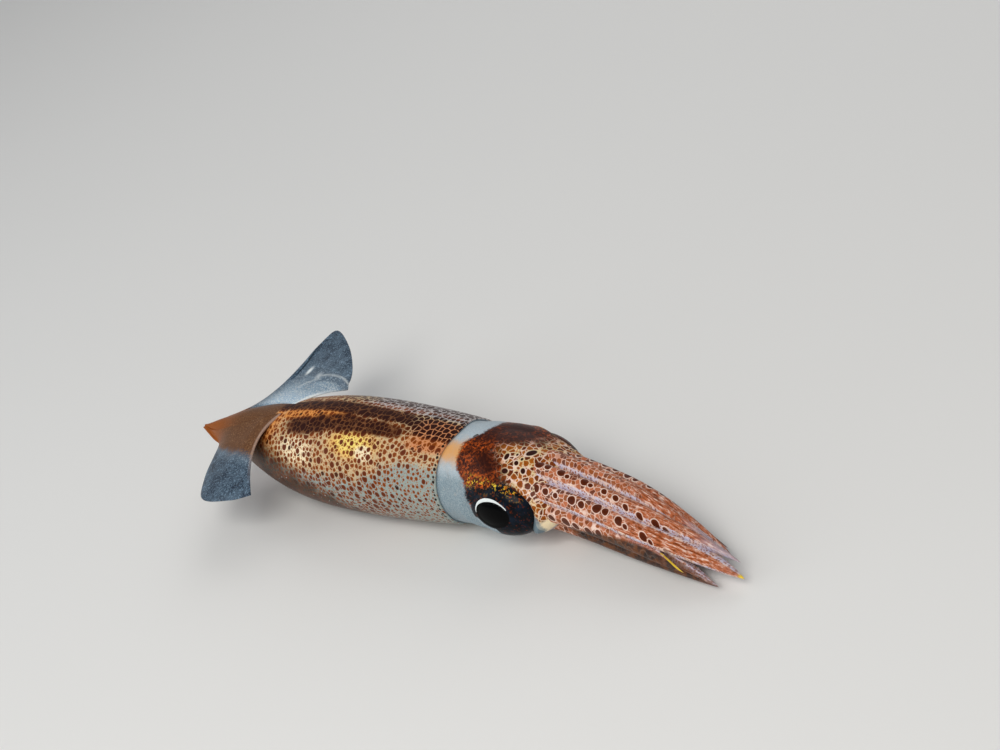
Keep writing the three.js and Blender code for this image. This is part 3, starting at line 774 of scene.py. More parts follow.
class SQUID_OT_mantle(bpy.types.Operator):
    """Builds the mantle's skin, over the lip and into the mouth round the neck"""
    bl_idname = "squid.mantle"
    bl_label = "Mantle"

    def execute(self, context):
        form = Form(context.scene.squid_sizes)
        steps, bend, inner = 240, 12, 8
        share = np.linspace(0, 1, steps + 1) ** 1.15
        radius = form.girth(share)
        radius[0] = 0
        trim = np.clip((share - 0.8) / 0.2, 0, 1) ** 2
        rim = radius[-1] - form.LIP
        turn = np.linspace(0, math.pi, bend + 1)[1:]
        depth = np.linspace(0, form.MOUTH_DEPTH, inner + 1)[1:] / form.length
        inside = np.full(inner, rim - form.LIP)
        share = np.concatenate([share, 1 + form.LIP * np.sin(turn) / form.length, 1 - depth, 1 - depth[-1:]])
        radius = np.concatenate([radius, rim + form.LIP * np.cos(turn), inside, [0]])
        trim = np.concatenate([trim, np.ones(bend), 1 - np.linspace(0, 1, inner + 1)[1:], [0]])
        angle = around(220)
        s, r, t = (column[:, None] for column in (share, radius, trim))
        points = form.mantle(s, angle[:-1], r, t)
        slope = np.zeros(len(share))
        slope[:steps] = np.gradient(radius[:steps + 1], form.length * share[:steps + 1])[:steps]
        values = mantle_fields(np.clip(s, 0, 1), angle[:-1])
        values["shear"] = angle[:-1] * slope[:, None]
        values["lip"] = (np.arange(len(share)) > steps + bend // 2)[:, None] * 0.8
        piece = add_skin("mantle_skin", points, stacked(angle * r, form.length * s), values)
        fit(piece, mantle_material(tones()), "mantle_skin", "mantle")
        return {"FINISHED"}


def fin_material(tone):
    """A clear film that turns milky at the root and brown over the tail, with fine specks."""
    paint = Paint("fin_skin")
    place, solid = paint.skin(), paint.solid()
    brown, milk, bright = paint.value("brown"), paint.value("milk"), paint.value("bright")
    cloud = paint.noise(solid, 3.0, 3.0, 0.6)
    speck = paint.noise(solid, 0.32, 2.0, 0.7)
    grain = paint.step(speck, 0.38, 0.62)
    stretched = paint.add("Mapping", {0: place, 3: (0.25, 1.6, 1.0)}).outputs[0]
    strand = paint.noise(stretched, 1.0, 2.0, 0.6)
    skin = paint.coats(
        paint.blend(cloud, 0.3, 0.7, tone["film"], paint.mix(0.2, tone["film"], tone["milk"])),
        (paint.times(paint.step(speck, 0.52, 0.66), 0.45), tone["milk"]),
        (paint.times(paint.step(speck, 0.46, 0.34), 0.45), tone["ink"]),
        (paint.times(paint.step(strand, 0.5, 0.75), 0.14), tone["milk"]),
        (milk, paint.blend(speck, 0.4, 0.65, tone["milk"], tone["silver"])),
        (paint.zone(brown, speck, 0.9), tail_skin(paint, tone, grain, speck, paint.value("tip"))),
        (paint.times(paint.value("seam"), 0.3), tone["pink"]),
        (bright, tone["silver"]))
    thick = paint.math("MAXIMUM", paint.math("MAXIMUM", brown, bright), paint.times(milk, 0.9))
    alpha = paint.math("MULTIPLY_ADD", thick, 0.16, 0.84)
    normal = paint.bump(paint.math("ADD", paint.times(strand, 0.6), paint.times(speck, 0.4)), 0.3, 0.08)
    return paint.finish(skin, normal, Alpha=alpha, **WET)


def fin_fields(spec, u, v, wide):
    """The fin's zones by share of its root, share of its width and millimetres from the root."""
    tip = 1 - smooth(u, 0.1, 0.5)
    if spec["side"] == RIGHT:
        edge = knots(u, ((0, 2), (0.25, 1.05), (0.39, 0.6), (0.61, 0.42), (0.83, 0.5), (0.97, 0.61),
                         (1, 0.65)))
        brown = 1 - smooth(v - edge, -0.14, 0.14)
        return dict(brown=brown, milk=0.15 * plateau(v, edge, 0.03, 0.12), tip=tip, bright=0 * v,
                    seam=smooth(u, 0.978, 0.992) * (1 - smooth(v, 0.5, 0.95)))
    brown = np.maximum((1 - smooth(u, 0.28, 0.55)) * (1 - smooth(v, 0.25, 0.6)), 1 - smooth(u, 0.12, 0.25))
    milk = 0.95 * bell(v * wide, 0, 7.5) * smooth(u, 0.35, 0.75)
    flap = smooth(fold_line(u) - v, 0.02, 0.2) * smooth(u, 0.78, 0.86)
    fold = bell(v, fold_line(u), 0.012) * smooth(u, 0.75, 0.8) * 0.55
    stars = 1 - smooth(np.hypot((u - 0.71) * 50, (v - 0.57) * wide * 0.7), 0.2, 1.1)
    stars = np.maximum(stars, 0.5 * (1 - smooth(np.hypot((u - 0.82) * 29, (v - 0.61) * wide), 0.2, 1.2)))
    margin = smooth(u, 0.975, 0.992) * (1 - smooth(v, 0.35, 0.95))
    return dict(brown=brown, milk=np.maximum(milk, 0.5 * flap), tip=tip, seam=0 * v,
                bright=np.maximum(np.maximum(fold, stars), 0.8 * margin))


def fold_line(u):
    """Where the left fin's crease runs, as a share of the fin's width."""
    return knots(u, ((0.78, 0.34), (0.82, 0.47), (0.85, 0.66), (0.94, 0.92), (1, 1.05)))


class SQUID_OT_fins(bpy.types.Operator):
    """Builds both tail fins, each one closed skin with a rounded edge"""
    bl_idname = "squid.fins"
    bl_label = "Fins"

    def execute(self, context):
        sizes = context.scene.squid_sizes
        form = Form(sizes)
        material = fin_material(tones())
        rows, half, near = 150, 64, 1e-3
        u = np.linspace(0, 1, rows + 1)[:, None]
        across = 0.5 - 0.5 * np.cos(np.linspace(0, math.pi, half + 1))
        v = np.concatenate([across, across[-2:0:-1]])[None, :]
        face = np.concatenate([np.ones(half), -np.ones(half)])[None, :]
        whole_u, whole_v = u + 0 * v, v + 0 * u
        for name, spec in FINS.items():
            def sheet(du, dv):
                """The middle sheet, with a gentle ripple to its edge and a crease in the left fin."""
                a, b = np.clip(whole_u + du, 0, 1), np.clip(whole_v + dv, 0, 1)
                flat = form.fin(spec, a, b)
                ripple = 0.25 * b**2 * np.sin(14 * a + 3 * b) * smooth(a, 0.1, 0.4) * (1 - smooth(a, 0.8, 1))
                if spec["side"] == LEFT:
                    ripple = ripple + 0.3 * bell(b, fold_line(a), 0.05) * smooth(a, 0.74, 0.82)
                flat[..., 2] += ripple
                return flat

            points = sheet(0, 0)
            normal = unit(np.cross(sheet(near, 0) - sheet(-near, 0), sheet(0, near) - sheet(0, -near)))
            body = (0.35 + 0.65 * smooth(whole_u, 0, 0.25)) * (1 - 0.7 * smooth(whole_u, 0.85, 1))
            body = body * (1 - whole_v) ** 1.5
            thick = (sizes.fin_edge + (sizes.fin_root - sizes.fin_edge) * body) / MM
            edge, front = rounded(whole_v, 0.93, 0.07), rounded(whole_u, 0.97, 0.03)
            root = np.sqrt(np.clip(whole_v / 0.02, 0, 1))
            tail = np.sqrt(np.clip(whole_u / 0.05, 0, 1))
            points = points + normal * (face * 0.5 * thick * edge * front * root * tail)[..., None]
            wide = np.linalg.norm(form.fin(spec, u, 0 * u + 1) - form.fin(spec, u, 0 * u), axis=-1)
            place = stacked(closed(whole_u) * spec["root_end"] * form.length, closed(whole_v) * wide)
            values = fin_fields(spec, whole_u, whole_v, wide)
            piece = add_skin(name, points, place, values, ("point", "zip"))
            fit(piece, material, "fin_skin")
        return {"FINISHED"}


def head_material(tone):
    """Pale neck, dark skin netted with orange, a spotted front and a black patch round each eye, with painted
    shade low on the neck and a painted highlight by the arm bases.
    """
    paint = Paint("head_skin")
    place = paint.solid()
    field = {key: paint.value(key) for key in (
        "ahead", "front", "patch", "top", "blotch", "gold", "highlight_cream", "orange", "low", "oval", "under",
        "gleam")}
    cloud = paint.noise(place, 1.6, 3.0, 0.6)
    grain = paint.noise(place, 0.42, 3.0, 0.7)
    fine = paint.noise(place, 0.2, 2.0, 0.7)
    warp = paint.warped(place, 0.8, 0.2)

    fleck = paint.noise(warp, 0.45, 2.0, 0.6)
    cells = paint.spots(warp, 0.95, 0.54, 0.78, 5, flat=False, even=0.95)
    between = paint.spots(warp, 0.46, 0.34, 0.6, 12, 0.9, line=0.04, soft=0.04, flat=False)
    dots = paint.spots(warp, 1.3, 0.12, 0.26, 9, 0.7, flat=False)

    neck = paint.coats(
        tone["neck"],
        # Painted shade: the neck turns darker blue-grey low down.
        (paint.zone(field["low"], cloud), tone["haze"]),
        (paint.times(paint.step(fine, 0.4, 0.65), 0.25), tone["silver"]),
        (paint.zone(field["orange"], cloud, 0.8, 0.0, 1.0), tone["sand"]))

    opened = paint.step(paint.clouded(field["front"], cloud, 3.4), -3.0, 1.1)
    shut = paint.rest(paint.times(opened, 0.9))
    oval = paint.step(field["oval"], -0.06, 0.06)
    clear = paint.step(field["oval"], -0.1, -0.24)
    glow = paint.blend(cloud, 0.38, 0.62, tone["spot"], tone["crackle"])
    glow = paint.blend(grain, 0.4, 0.58, tone["maroon"], glow)
    dull = paint.blend(cells.dice, 0.35, 0.65, tone["spot"], paint.mix(0.5, tone["spot"], tone["crackle"]))
    dull = paint.blend(grain, 0.42, 0.6, tone["maroon"], dull)
    pale = paint.blend(cloud, 0.35, 0.65, tone["straw"], tone["pink"])
    gaps = paint.times(between.cover, paint.step(paint.outside(cells), 0.04, 0.12), clear)
    pale = paint.mix(gaps, pale, tone["orange"])
    shade = paint.coats(
        paint.mix(0.5, tone["orange"], tone["rim"]),
        (paint.step(cells.dice, 0.15, 0.5), tone["rim"]),
        (paint.step(cells.dice, 0.6, 0.8), tone["spot"]),
        (paint.step(paint.out(cells), 0.5, 0.1, 0.0, 0.5), tone["spot"]))
    ink = paint.mix(paint.times(paint.step(fleck, 0.56, 0.64), 0.75), ink_skin(paint, tone, cloud), tone["spot"])
    skin = paint.coats(
        paint.mix(opened, glow, pale),
        (paint.times(cells.cover, clear), paint.mix(opened, dull, shade)),
        (paint.times(paint.zone(field["top"], cloud, 0.8), 0.72, shut), tone["maroon"]),
        (paint.times(paint.zone(field["blotch"], cloud, 0.8), 0.8, shut), tone["maroon"]),
        (paint.zone(field["under"], cloud), paint.mix(0.4, tone["neck"], tone["pink"])),
        (paint.times(dots.cover, field["under"], 0.9), tone["spot"]),
        (oval, tone["maroon"]),
        # Painted highlight: the bright patch on the pale skin by the arm bases.
        (field["highlight_cream"], tone["highlight_cream"]),
        (paint.step(paint.clouded(field["patch"], fleck, 2.2), -0.4, 0.35), ink),
        # The blue-grey edge of that painted highlight.
        (paint.times(paint.zone(field["gleam"], fleck, 0.8), 0.8), tone["haze"]),
        (paint.times(paint.step(fleck, 0.5, 0.58), field["gold"]), glint(paint, tone, cloud)))

    border = paint.clouded(field["ahead"], grain, 2.0)
    skin = paint.blend(border, -0.35, 0.55, neck, skin)
    skin = paint.mix(paint.times(oval, paint.step(border, 0.3, -0.2)), skin, tone["closed"])
    return paint.wet(skin, paint.times(cells.cover, -0.3), fine)


def head_fields(x, angle):
    """The head's zones by distance from its back edge in millimetres and degrees to the right.

    The fields called ahead, front, patch and oval are millimetres inside the zone they bound, and
    girth is the millimetres of skin to a degree.
    """
    right = -np.degrees(angle)
    side = np.abs(right)
    x = x + 0 * right
    girth = 9.0 * math.pi / 180
    neck = knots(right, (
        (-180, 6.5), (-100, 5.5), (-64, 4.8), (-40, 3.6), (-20, 4.4), (0.5, 3.6), (14, 1.4), (34, 1.5),
        (46, 2.2), (55, 4.0), (64, 4.8), (75, 4.8), (100, 5.5), (180, 6.5)))
    front = knots(right, ((-180, 16), (-60, 15), (-34, 15.3), (-17, 14.8), (-5, 12.9), (8, 10.4), (24, 10.8),
                          (28, 12), (38, 12.8), (47, 14.1), (59, 15.3), (77, 16.1), (110, 17.5), (180, 16)))
    above = knots(x, ((3.5, 72), (4.5, 62), (7, 57), (10, 54), (12.5, 44), (14, 50), (15.2, 58), (16.3, 73),
                      (17, 97), (17.8, 132)))
    below = knots(x, ((3.5, 72), (4.5, 78), (6, 84), (7.9, 92), (9.5, 122), (12, 138), (16, 136),
                      (17.8, 124)))
    patch = np.minimum(side - above, below - side) * girth
    ovals = []
    for at, degrees, long, wide, turn in OVALS:
        along, aside = turned(x - at, (degrees - right) * girth, -math.radians(turn))
        ovals.append((1 - np.hypot(along / long, aside / wide)) * wide)
    # Low on the neck the skin is darkened as painted shade; the bright patch by the arm bases and its blue-grey
    # edge are a painted highlight.
    return dict(
        ahead=x - neck, front=x - front, patch=patch, oval=np.max(ovals, axis=0), low=smooth(side, 34, 72),
        top=bell(right, -12, 24) * (1 - 0.5 * smooth(x, 13, 17)),
        blotch=1 - smooth(np.hypot((x - 8.5) / 2.7, (side - 30) / 15), 0.55, 1.1),
        gold=bell(side, 53.5, 4.5) * smooth(x, 3.6, 4.8) * (1 - smooth(x, 12.5, 14.5)),
        highlight_cream=plateau(side, 118, 9, 8) * plateau(x, 18.6, 1.4, 1.6),
        gleam=plateau(side, 112, 10, 14) * plateau(x, 16.4, 0.8, 1.4),
        orange=bell(right, 27, 14) * (1 - smooth(x, 2.5, 4.5)), under=smooth(side, 112, 140))


class SQUID_OT_head(bpy.types.Operator):
    """Builds the neck and head skin, with a shallow socket round each eye"""
    bl_idname = "squid.head"
    bl_label = "Head"

    def execute(self, context):
        sizes = context.scene.squid_sizes
        form = Form(sizes)
        back = form.NECK_GAP - form.MOUTH_DEPTH - sizes.neck_shown / MM
        x = np.linspace(back, form.head_length, 221)[:, None]
        angle = around(280)[None, :-1]
        points = form.head_skin(x, angle)
        middle = form.eye_middle(RIGHT)
        half = np.array((sizes.eye_length, sizes.eye_height)) / MM
        out = np.hypot((points[..., 0] - middle[0]) / half[0], (points[..., 2] - middle[2]) / half[1])
        sides = np.abs(np.sin(angle)) ** 0.5
        deep = 1.5 + 0.158 * (points[..., 0] - middle[0])
        sunk = deep * (1 - smooth(out, 0.7, 1.12)) - 0.22 * bell(out, 1.14, 0.1)
        points[..., 1] *= 1 - sides * sunk / np.maximum(np.abs(points[..., 1]), 4)
        first, last = (ring.mean(1, keepdims=True) + 0 * ring for ring in (points[:1], points[-1:]))
        points = np.concatenate([first, points, last])
        x = np.concatenate([x[:1], x, x[-1:]])
        piece = add_skin("head_skin", points, None, head_fields(x, angle))
        fit(piece, head_material(tones()), "head_skin", "head")
        return {"FINISHED"}


def arm_material(tone):
    """Pink-orange skin packed with spots, a row of large ones, and pale bands between the arms, with painted
    shade over the lower arms and painted highlight streaks on the far halves.
    """
    paint = Paint("arm_skin")
    place, solid = paint.skin(), paint.solid()
    lilac, shade_brown, gold, fade, far, off, row = (paint.value(key) for key in (
        "lilac", "shade_brown", "gold", "fade", "far", "off", "row"))
    cloud = paint.noise(solid, 1.5, 3.0, 0.6)
    fine = paint.noise(solid, 0.2, 2.0, 0.7)
    warp = paint.warped(place, 0.9, 0.12)
    streak = paint.noise(paint.add("Mapping", {0: warp, 3: (0.35, 1.7, 1.0)}).outputs[0], 0.6, 3.0, 0.6)
    cells = paint.spots(warp, 0.88, 0.5, 0.74, 4, 0.97, line=0.05, even=0.9)
    tiny = paint.spots(warp, 0.54, 0.22, 0.4, 8, 0.85, line=0.05)
    large, outside = paint.dots(paint.parts(warp)[0], off, 2.5, 0.48, 0.88, 2, 0.3)
    clear = paint.step(paint.math("MAXIMUM", outside, paint.step(row, 1.0, 0.0, 0.0, FAR)), 0.08, 0.22)

    lines = paint.blend(cloud, 0.35, 0.65, tone["pink"], paint.mix(0.7, tone["pink"], tone["flesh"]))
    shade = paint.blend(cells.dice, 0.2, 0.45, tone["flesh"], tone["rim"])
    shade = paint.blend(cells.dice, 0.6, 0.78, shade, tone["spot"])
    strands = paint.blend(streak, 0.36, 0.5, paint.mix(0.25, tone["spot"], tone["rim"]), tone["flesh"])
    # Pale pink streaks over the far halves: painted highlights on the wet arms.
    strands = paint.mix(paint.times(paint.step(streak, 0.52, 0.66), 0.9), strands, tone["pink"])
    pale = paint.blend(cloud, 0.4, 0.65, tone["lilac"], tone["pink"])
    pale = paint.mix(paint.times(tiny.cover, 0.85), pale, tone["rim"])
    core = paint.mix(0.5, tone["maroon"], tone["spot"])
    # The dark mottle of the painted shade over the lower arms.
    mottle = paint.blend(cloud, 0.42, 0.58, tone["slate"], paint.mix(0.5, tone["umber"], tone["shade_brown"]))
    skin = paint.coats(
        lines,
        (paint.times(cells.cover, clear, 0.94), shade),
        (paint.times(far, paint.step(cloud, 0.3, 0.6, 0.55, 0.95)), strands),
        (paint.times(paint.zone(lilac, cloud), paint.step(streak, 0.3, 0.55, 0.6, 0.95)), pale),
        (paint.times(paint.step(outside, 0.24, 0.08), row, 0.85), tone["pink"]),
        (paint.times(large, row), paint.blend(outside, -0.5, -0.05, core, tone["spot"])),
        # Painted shade over the lower arms, laid as a dark mottle.
        (paint.times(paint.zone(shade_brown, cloud, 0.7), 0.92), mottle),
        (paint.times(paint.zone(fade, cloud), 0.6), paint.mix(0.3, tone["lilac"], tone["shade_brown"])),
        (gold, tone["yellow"]))
    return paint.wet(skin, paint.times(large, row, -0.4), fine)


def arm_fields(name, spec, x, share, turn, girth):
    """An arm's zones: x in millimetres from the head's back edge, turn in degrees round it.

    The distance off the row of large spots is in millimetres, and girth is those per radian.
    """
    number = name[-1]
    rowed = number in ROWS and name != "arm_left_1"
    row = knots(x, ROWS[number]) if number in ROWS else 0 * x
    band = np.maximum(smooth(-turn, spec["band"], spec["band"] + 9), smooth(turn, 50, 62))
    inner = smooth(np.abs(turn), 105, 125)
    low = float(smooth(abs(spec["angle"]), 90, 150))
    streak = knots(x, ((43.5, 160), (45.4, 140), (47.4, 96), (48.2, 70)))
    gold = {"arm_right_2": smooth(share, 0.975, 0.99),
            "arm_right_3": smooth(x, 42.4, 43) * plateau(turn, streak, 34, 12)}.get(name, 0 * share)
    third = float(number == "3")
    # Painted shade over the lower arms and the far parts of the third arms.
    shade_brown = np.maximum(low * smooth(x, 18, 26), third * smooth(x - 0.16 * turn, 22, 32))
    return dict(
        lilac=np.maximum(band * (1 - 0.8 * low) * (1 - 0.6 * third), inner),
        shade_brown=shade_brown * (1 - 0.7 * inner),
        gold=gold, fade=smooth(share, 0.74, 0.98) * (0.9 if number == "1" else 0.3),
        far=smooth(x, 28, 38), off=np.radians(turn - row) * girth,
        row=rowed * plateau(turn, row, 70, 20) * (1 - smooth(x, 42, 46)) * (1 - 0.6 * low))


def add_arm(form, name, spec, thick, material):
    """One arm: rings along it, closer at the tip, with skin coordinates along and round it."""
    share = 1 - (1 - np.linspace(0, 1, 191)) ** 1.25
    s, a = share[:, None], around(72)[None, :]
    whole = form.arm(spec, s + 0 * a, a + 0 * s, thick)
    walked = along_rows(whole)
    girth = 0.5 * (thick + spec["width"]) * np.maximum(1 - s ** spec["blunt"], 0.05) ** 0.9
    place = stacked(walked + ARM_SHIFT * spec["angle"], a * girth)
    mirror = 1 if spec["angle"] < 0 else -1
    turn = mirror * np.degrees(a[:, :-1]) + 0 * s
    x = whole[:, :-1, 0] - form.head
    values = arm_fields(name, spec, x, s + 0 * turn, turn, girth)
    piece = add_skin(name, whole[:, :-1], place, values)
    fit(piece, material, "head_skin")


def add_suckers(form, name, spec, thick, size, material):
    """Two rows of round cups on an arm's inner side: a profile turned about the skin's normal."""
    pairs, stagger, slant, near, columns = 17, 0.014, 30, 1e-3, 18
    share = np.linspace(0.5, 0.965, pairs)[:, None] + np.array((0, stagger))[None, :]
    angle = math.pi + np.radians((-slant, slant))[None, :] + 0 * share
    spot = form.arm(spec, share, angle, thick)
    along = unit(form.arm(spec, share + near, angle, thick) - spot)
    out = spot - form.arm(spec, share, angle + math.pi, thick)
    out = unit(out - (out * along).sum(-1, keepdims=True) * along)
    side = np.cross(along, out)
    profile = through(((0, -0.7), (0.5, -0.65), (0.66, -0.1), (0.98, 0.2), (0.9, 0.36), (0.66, 0.3),
                       (0.4, 0.1), (0, 0.06)), np.linspace(0, 1, 22))
    phi = around(columns)[:-1]
    big = size * np.maximum(1 - share ** spec["blunt"], 0.02) ** 0.7 * (1 - 0.3 * share)
    radius, height = (part * np.ones(columns) for part in (profile[:, :1], profile[:, 1:]))
    radius = np.maximum(radius, 0)
    radius[[0, -1]] = 0
    ring = [(radius * wave)[None, None, :, :, None] for wave in (np.cos(phi), np.sin(phi))]
    grid = spot[:, :, None, None, :] + big[:, :, None, None, None] * (
        ring[0] * along[:, :, None, None, :] + ring[1] * side[:, :, None, None, :]
        + height[None, None, :, :, None] * out[:, :, None, None, :])
    cups = grid.reshape(-1, *grid.shape[2:])
    piece = add_skin(name + "_suckers", cups, None, {"rim": profile[:, :1] + 0 * phi})
    fit(piece, material, "head_skin")


def sucker_material(tone):
    """Pale wet cups with a slightly darker rim."""
    paint = Paint("suckers")
    fine = paint.noise(paint.solid(), 0.18, 2.0, 0.6)
    pale = paint.blend(fine, 0.35, 0.7, tone["pink"], tone["silver"])
    skin = paint.mix(paint.times(paint.step(paint.value("rim"), 0.75, 0.95), 0.5), pale, tone["flesh"])
    return paint.finish(skin, paint.bump(fine, 0.2, 0.05), **WET)


class SQUID_OT_arms(bpy.types.Operator):
    """Builds the eight arms, their suckers and the two tentacles"""
    bl_idname = "squid.arms"
    bl_label = "Arms"

    def execute(self, context):
        sizes = context.scene.squid_sizes
        form = Form(sizes)
        material, cups = arm_material(tones()), sucker_material(tones())
        for name, spec in ARMS.items():
            add_arm(form, name, spec, form.thick, material)
            add_suckers(form, name, spec, form.thick, sizes.sucker / MM, cups)
        for name, spec in TENTACLES.items():
            add_arm(form, name, spec, spec["width"], material)
        return {"FINISHED"}


def funnel_material(tone):
    """Pale blue flesh with a few small spots."""
    paint = Paint("funnel_skin")
    place = paint.solid()
    fine = paint.noise(place, 0.25, 2.0, 0.7)
    dots = paint.spots(place, 1.1, 0.14, 0.26, 6, 0.5, flat=False)
    ground = paint.blend(fine, 0.35, 0.7, tone["neck"], tone["lilac"])
    skin = paint.mix(paint.times(dots.cover, 0.9), ground, tone["spot"])
    return paint.finish(skin, paint.bump(fine, 0.3, 0.08), **WET)


class SQUID_OT_funnel(bpy.types.Operator):
    """Builds the funnel under the head, a cone with a round mouth"""
    bl_idname = "squid.funnel"
    bl_label = "Funnel"

    def execute(self, context):
        form = Form(context.scene.squid_sizes)
        profile = through(((-4.5, 0), (-4.5, 2.2), (-0.5, 2.9), (3.5, 2.7), (6.5, 2.2), (8.9, 1.75),
                           (9.2, 1.4), (8.2, 1.1), (6.4, 1.0), (6.4, 0)), np.linspace(0, 1, 91))
        profile[:, 1] = np.maximum(profile[:, 1], 0)
        profile[[0, -1], 1] = 0
        along, radius = profile[:, :1], profile[:, 1:]
        angle = around(64)[None, :-1]
        points = stacked(
            form.head + along, 1.15 * radius * np.sin(angle),
            form.axis_z(1.0) - 5.3 - 0.12 * np.maximum(along, 0) + radius * np.cos(angle))
        piece = add_skin("funnel", points)
        fit(piece, funnel_material(tones()), "head_skin")
        return {"FINISHED"}


def eye_material(tone):
    """Black with a blue-grey iris, gold flecks above and a silver fold over the pupil."""
    paint = Paint("eye")
    place = paint.solid()
    polar, fold, high = paint.value("polar"), paint.value("fold"), paint.value("high")
    cloud = paint.noise(place, 1.6, 3.0, 0.6)
    fine = paint.noise(place, 0.2, 2.0, 0.6)
    fleck = paint.noise(paint.warped(place, 0.8, 0.22), 0.45, 2.0, 0.6)
    brow, pale = (paint.zone(paint.value(key), cloud) for key in ("brow", "pale"))
    iris = paint.coats(
        ink_skin(paint, tone, cloud),
        (paint.times(paint.step(fleck, 0.58, 0.66), 0.7), tone["spot"]),
        (paint.times(paint.step(fleck, 0.52, 0.6), high), glint(paint, tone, cloud)),
        (brow, paint.blend(fleck, 0.45, 0.6, tone["maroon"], tone["spot"])),
        (pale, paint.blend(fine, 0.4, 0.6, tone["haze"], tone["neck"])))
    skin = paint.blend(polar, 0.97, 1.03, PUPIL, iris)
    skin = paint.blend(fold, 0.35, 0.65, skin, tone["silver"])
    return paint.finish(skin, paint.bump(fine, 0.08, 0.04), Roughness=0.3, Specular_IOR_Level=0.03,
                        Coat_Weight=0.06, Coat_Roughness=0.04)


class SQUID_OT_eyes(bpy.types.Operator):
    """Builds both eyeballs, with the pupil let in and a bright fold over it"""
    bl_idname = "squid.eyes"
    bl_label = "Eyes"

    def execute(self, context):
        sizes = context.scene.squid_sizes
        form = Form(sizes)
        material = eye_material(tones())
        half = np.array((sizes.eye_length, sizes.eye_depth, sizes.eye_height)) / MM
        # How the eyeball is tilted and yawed in the head, and how far its pupil is raised and set back.
        tilt, yaw, raised, back = (math.radians(value) for value in (6, 9, 11, 7.7))
        pupil = 30
        theta = math.pi * np.linspace(0, 1, 201)[:, None] ** 1.5
        phi = around(192)[None, :-1]
        polar = np.degrees(theta) / pupil + 0 * phi
        width = knots(np.degrees(phi), (
            (-104, -0.06), (-92, 0.02), (-66, 0.045), (-42, 0.1), (-18, 0.13), (8, 0.1), (30, 0.05),
            (58, 0.025), (72, -0.06)))
        pale = smooth(polar, 1.05, 1.25) * plateau(np.degrees(phi), -150, 26, 16)
        fold = smooth(width - np.abs(polar - 1.0 - 0.5 * width), -0.02, 0.02)
        relief = 1 - 0.02 * (1 - smooth(polar, 0.8, 1.05)) + 0.014 * fold
        across, up, out = np.sin(theta) * np.sin(phi), np.sin(theta) * np.cos(phi), np.cos(theta) + 0 * phi
        out, up = turned(out, up, raised)
        across, out = turned(across, out, back)
        high = bell(polar, 2.3, 0.5) * smooth(np.cos(phi), 0.5, 0.9)
        for side, name, node in ((RIGHT, "eyeball_right", "eye_right"), (LEFT, "eyeball_left", "eye_left")):
            ball = stacked(across, side * out, up) * relief[..., None] * half
            x, z = turned(ball[..., 0], ball[..., 2], -tilt)
            x, y = turned(x, ball[..., 1], -side * yaw)
            points = form.eye_middle(side) + stacked(x, y, z)
            brow = (side == LEFT) * smooth(z / half[2], 0.35, 0.7)
            values = dict(polar=polar, fold=fold, high=high, brow=brow, pale=pale)
            piece = add_skin(name, points, None, values)
            fit(piece, material, "eye", node)
        return {"FINISHED"}


class StageSettings(bpy.types.PropertyGroup):
    key_power: FloatProperty(
        name="Key light", description="Power of the soft light", default=2.0, unit="POWER")
    fill_power: FloatProperty(
        name="Fill light", description="Power of the fill light", default=0.6, unit="POWER")
    distance: FloatProperty(
        name="Camera distance", description="From the squid", default=0.42, unit="LENGTH")
    lens: FloatProperty(name="Lens", description="Focal length on a 36 mm sensor", default=90.0)


def aim(thing, place, target, roll=0.0):
    """Puts a light or camera at a place, looking at the target, rolled about its own axis."""
    turn = (Vector(target) - Vector(place)).to_track_quat("-Z", "Y").to_matrix().to_4x4()
    thing.matrix_world = Matrix.Translation(place) @ turn @ Matrix.Rotation(roll, 4, "Z")


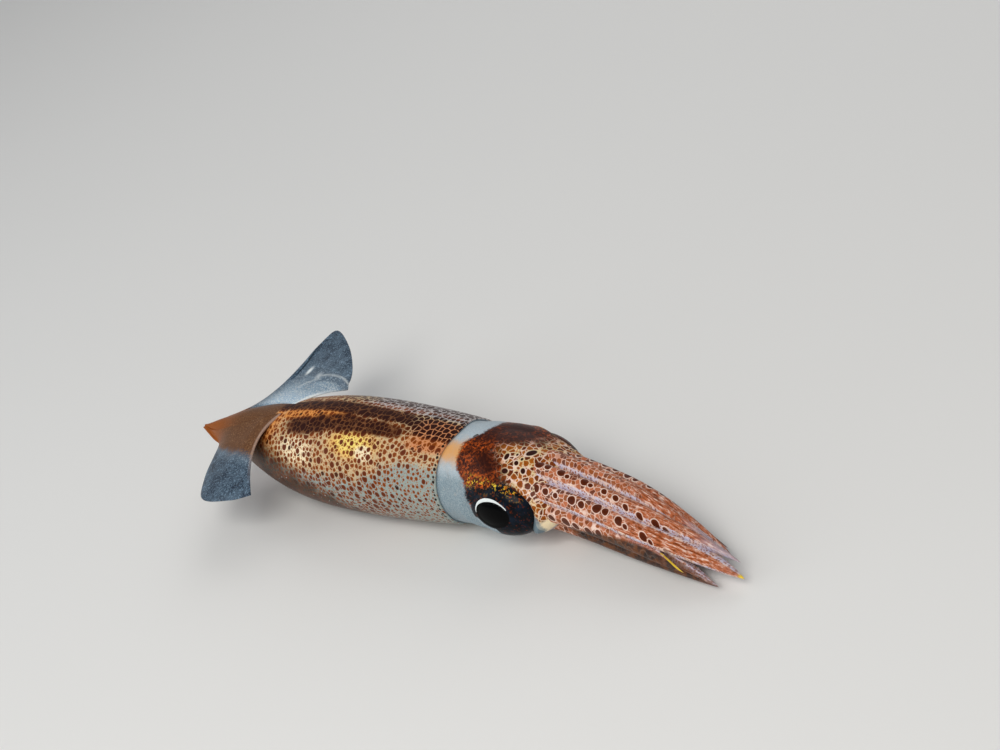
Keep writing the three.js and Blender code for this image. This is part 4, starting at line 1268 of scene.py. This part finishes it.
class SQUID_OT_stage(bpy.types.Operator):
    """Builds the floor, the soft lights and the camera"""
    bl_idname = "squid.stage"
    bl_label = "Stage"

    def execute(self, context):
        stage = context.scene.squid_stage
        mesh = bpy.data.meshes.new("floor")
        half, under = 1.5, -0.00005
        corners = [(x * half, y * half, under) for x, y in ((-1, -1), (1, -1), (1, 1), (-1, 1))]
        mesh.from_pydata(corners, [], [(0, 1, 2, 3)])
        floor = bpy.data.objects.new("floor", mesh)
        context.scene.collection.objects.link(floor)
        paint = Paint("floor")
        wash = paint.noise(paint.solid(), 60.0, 2.0)
        pale = tones()["floor"]
        cloth = paint.mix(paint.times(wash, 0.12), pale, tuple(0.9 * c for c in pale[:3]) + (1.0,))
        mesh.materials.append(paint.finish(cloth, paint.bump(wash, 0.05, 0.1), Roughness=0.8))

        world = bpy.data.worlds.new("studio")
        world.use_nodes = True
        sky = world.node_tree.nodes["Background"].inputs
        sky[0].default_value = (0.92, 0.95, 1.0, 1.0)
        sky[1].default_value = 0.25
        context.scene.world = world
        context.scene.view_settings.view_transform = "Standard"

        middle = Vector((0.014, 0, 0.008))
        for name, place, size, power, tint in (
                ("key", (0.22, -0.34, 0.42), 0.3, stage.key_power, (1.0, 0.98, 0.95)),
                ("fill", (-0.3, -0.25, 0.25), 0.4, stage.fill_power, (0.94, 0.97, 1.0)),
                ("back", (-0.1, 0.4, 0.35), 0.4, stage.fill_power, (1.0, 1.0, 1.0))):
            lamp = bpy.data.lights.new(name, "AREA")
            lamp.size, lamp.energy, lamp.color = size, power, tint
            light = bpy.data.objects.new(name, lamp)
            context.scene.collection.objects.link(light)
            aim(light, place, middle)

        side, rise, roll = (math.radians(value) for value in (VIEW_AHEAD, VIEW_UP, VIEW_ROLL))
        view = Vector((math.sin(side), -math.cos(side) * math.cos(rise), math.cos(side) * math.sin(rise)))
        target = Vector(LOOK_AT) * MM
        level = (Vector((1, 0, 0)) - view.x * view).normalized()
        right, up = turned(level, view.cross(level), -roll)
        camera = bpy.data.cameras.new("camera")
        camera.lens, camera.sensor_width = stage.lens, SENSOR
        eye = bpy.data.objects.new("camera", camera)
        context.scene.collection.objects.link(eye)
        focal = stage.lens / SENSOR * PICTURE[0]
        off_x, off_y = (math.atan((at - size / 2) / focal) for at, size in zip(LOOK_PIXEL, PICTURE))
        turn = Matrix((right, up, view)).transposed().to_4x4()
        tip = Matrix.Rotation(off_x, 4, "Y") @ Matrix.Rotation(off_y, 4, "X")
        eye.matrix_world = Matrix.Translation(target + stage.distance * view) @ turn @ tip
        context.scene.camera = eye
        return {"FINISHED"}


class SQUID_PT_panel(bpy.types.Panel):
    """Lists the squid's sizes, colours and build buttons"""
    bl_label = "Whole Raw Squid"
    bl_idname = "SQUID_PT_panel"
    bl_space_type = "VIEW_3D"
    bl_region_type = "UI"
    bl_category = "Squid"

    def draw(self, context):
        for operator in OPERATORS:
            self.layout.operator(operator.bl_idname)
        for group in (context.scene.squid_sizes, context.scene.squid_colours, context.scene.squid_stage):
            box = self.layout.box()
            for key in type(group).__annotations__:
                box.prop(group, key)


OPERATORS = (SQUID_OT_mantle, SQUID_OT_fins, SQUID_OT_head, SQUID_OT_funnel, SQUID_OT_arms,
             SQUID_OT_eyes, SQUID_OT_stage)
CLASSES = (SquidSizes, SkinColours, StageSettings, *OPERATORS, SQUID_PT_panel)


def register():
    for cls in CLASSES:
        bpy.utils.register_class(cls)
    bpy.types.Scene.squid_sizes = PointerProperty(type=SquidSizes)
    bpy.types.Scene.squid_colours = PointerProperty(type=SkinColours)
    bpy.types.Scene.squid_stage = PointerProperty(type=StageSettings)


def unregister():
    del bpy.types.Scene.squid_sizes
    del bpy.types.Scene.squid_colours
    del bpy.types.Scene.squid_stage
    for cls in reversed(CLASSES):
        bpy.utils.unregister_class(cls)


def main():
    """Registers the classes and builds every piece."""
    register()
    bpy.ops.squid.mantle()
    bpy.ops.squid.fins()
    bpy.ops.squid.head()
    bpy.ops.squid.funnel()
    bpy.ops.squid.arms()
    bpy.ops.squid.eyes()
    bpy.ops.squid.stage()


if __name__ == "__main__":
    main()
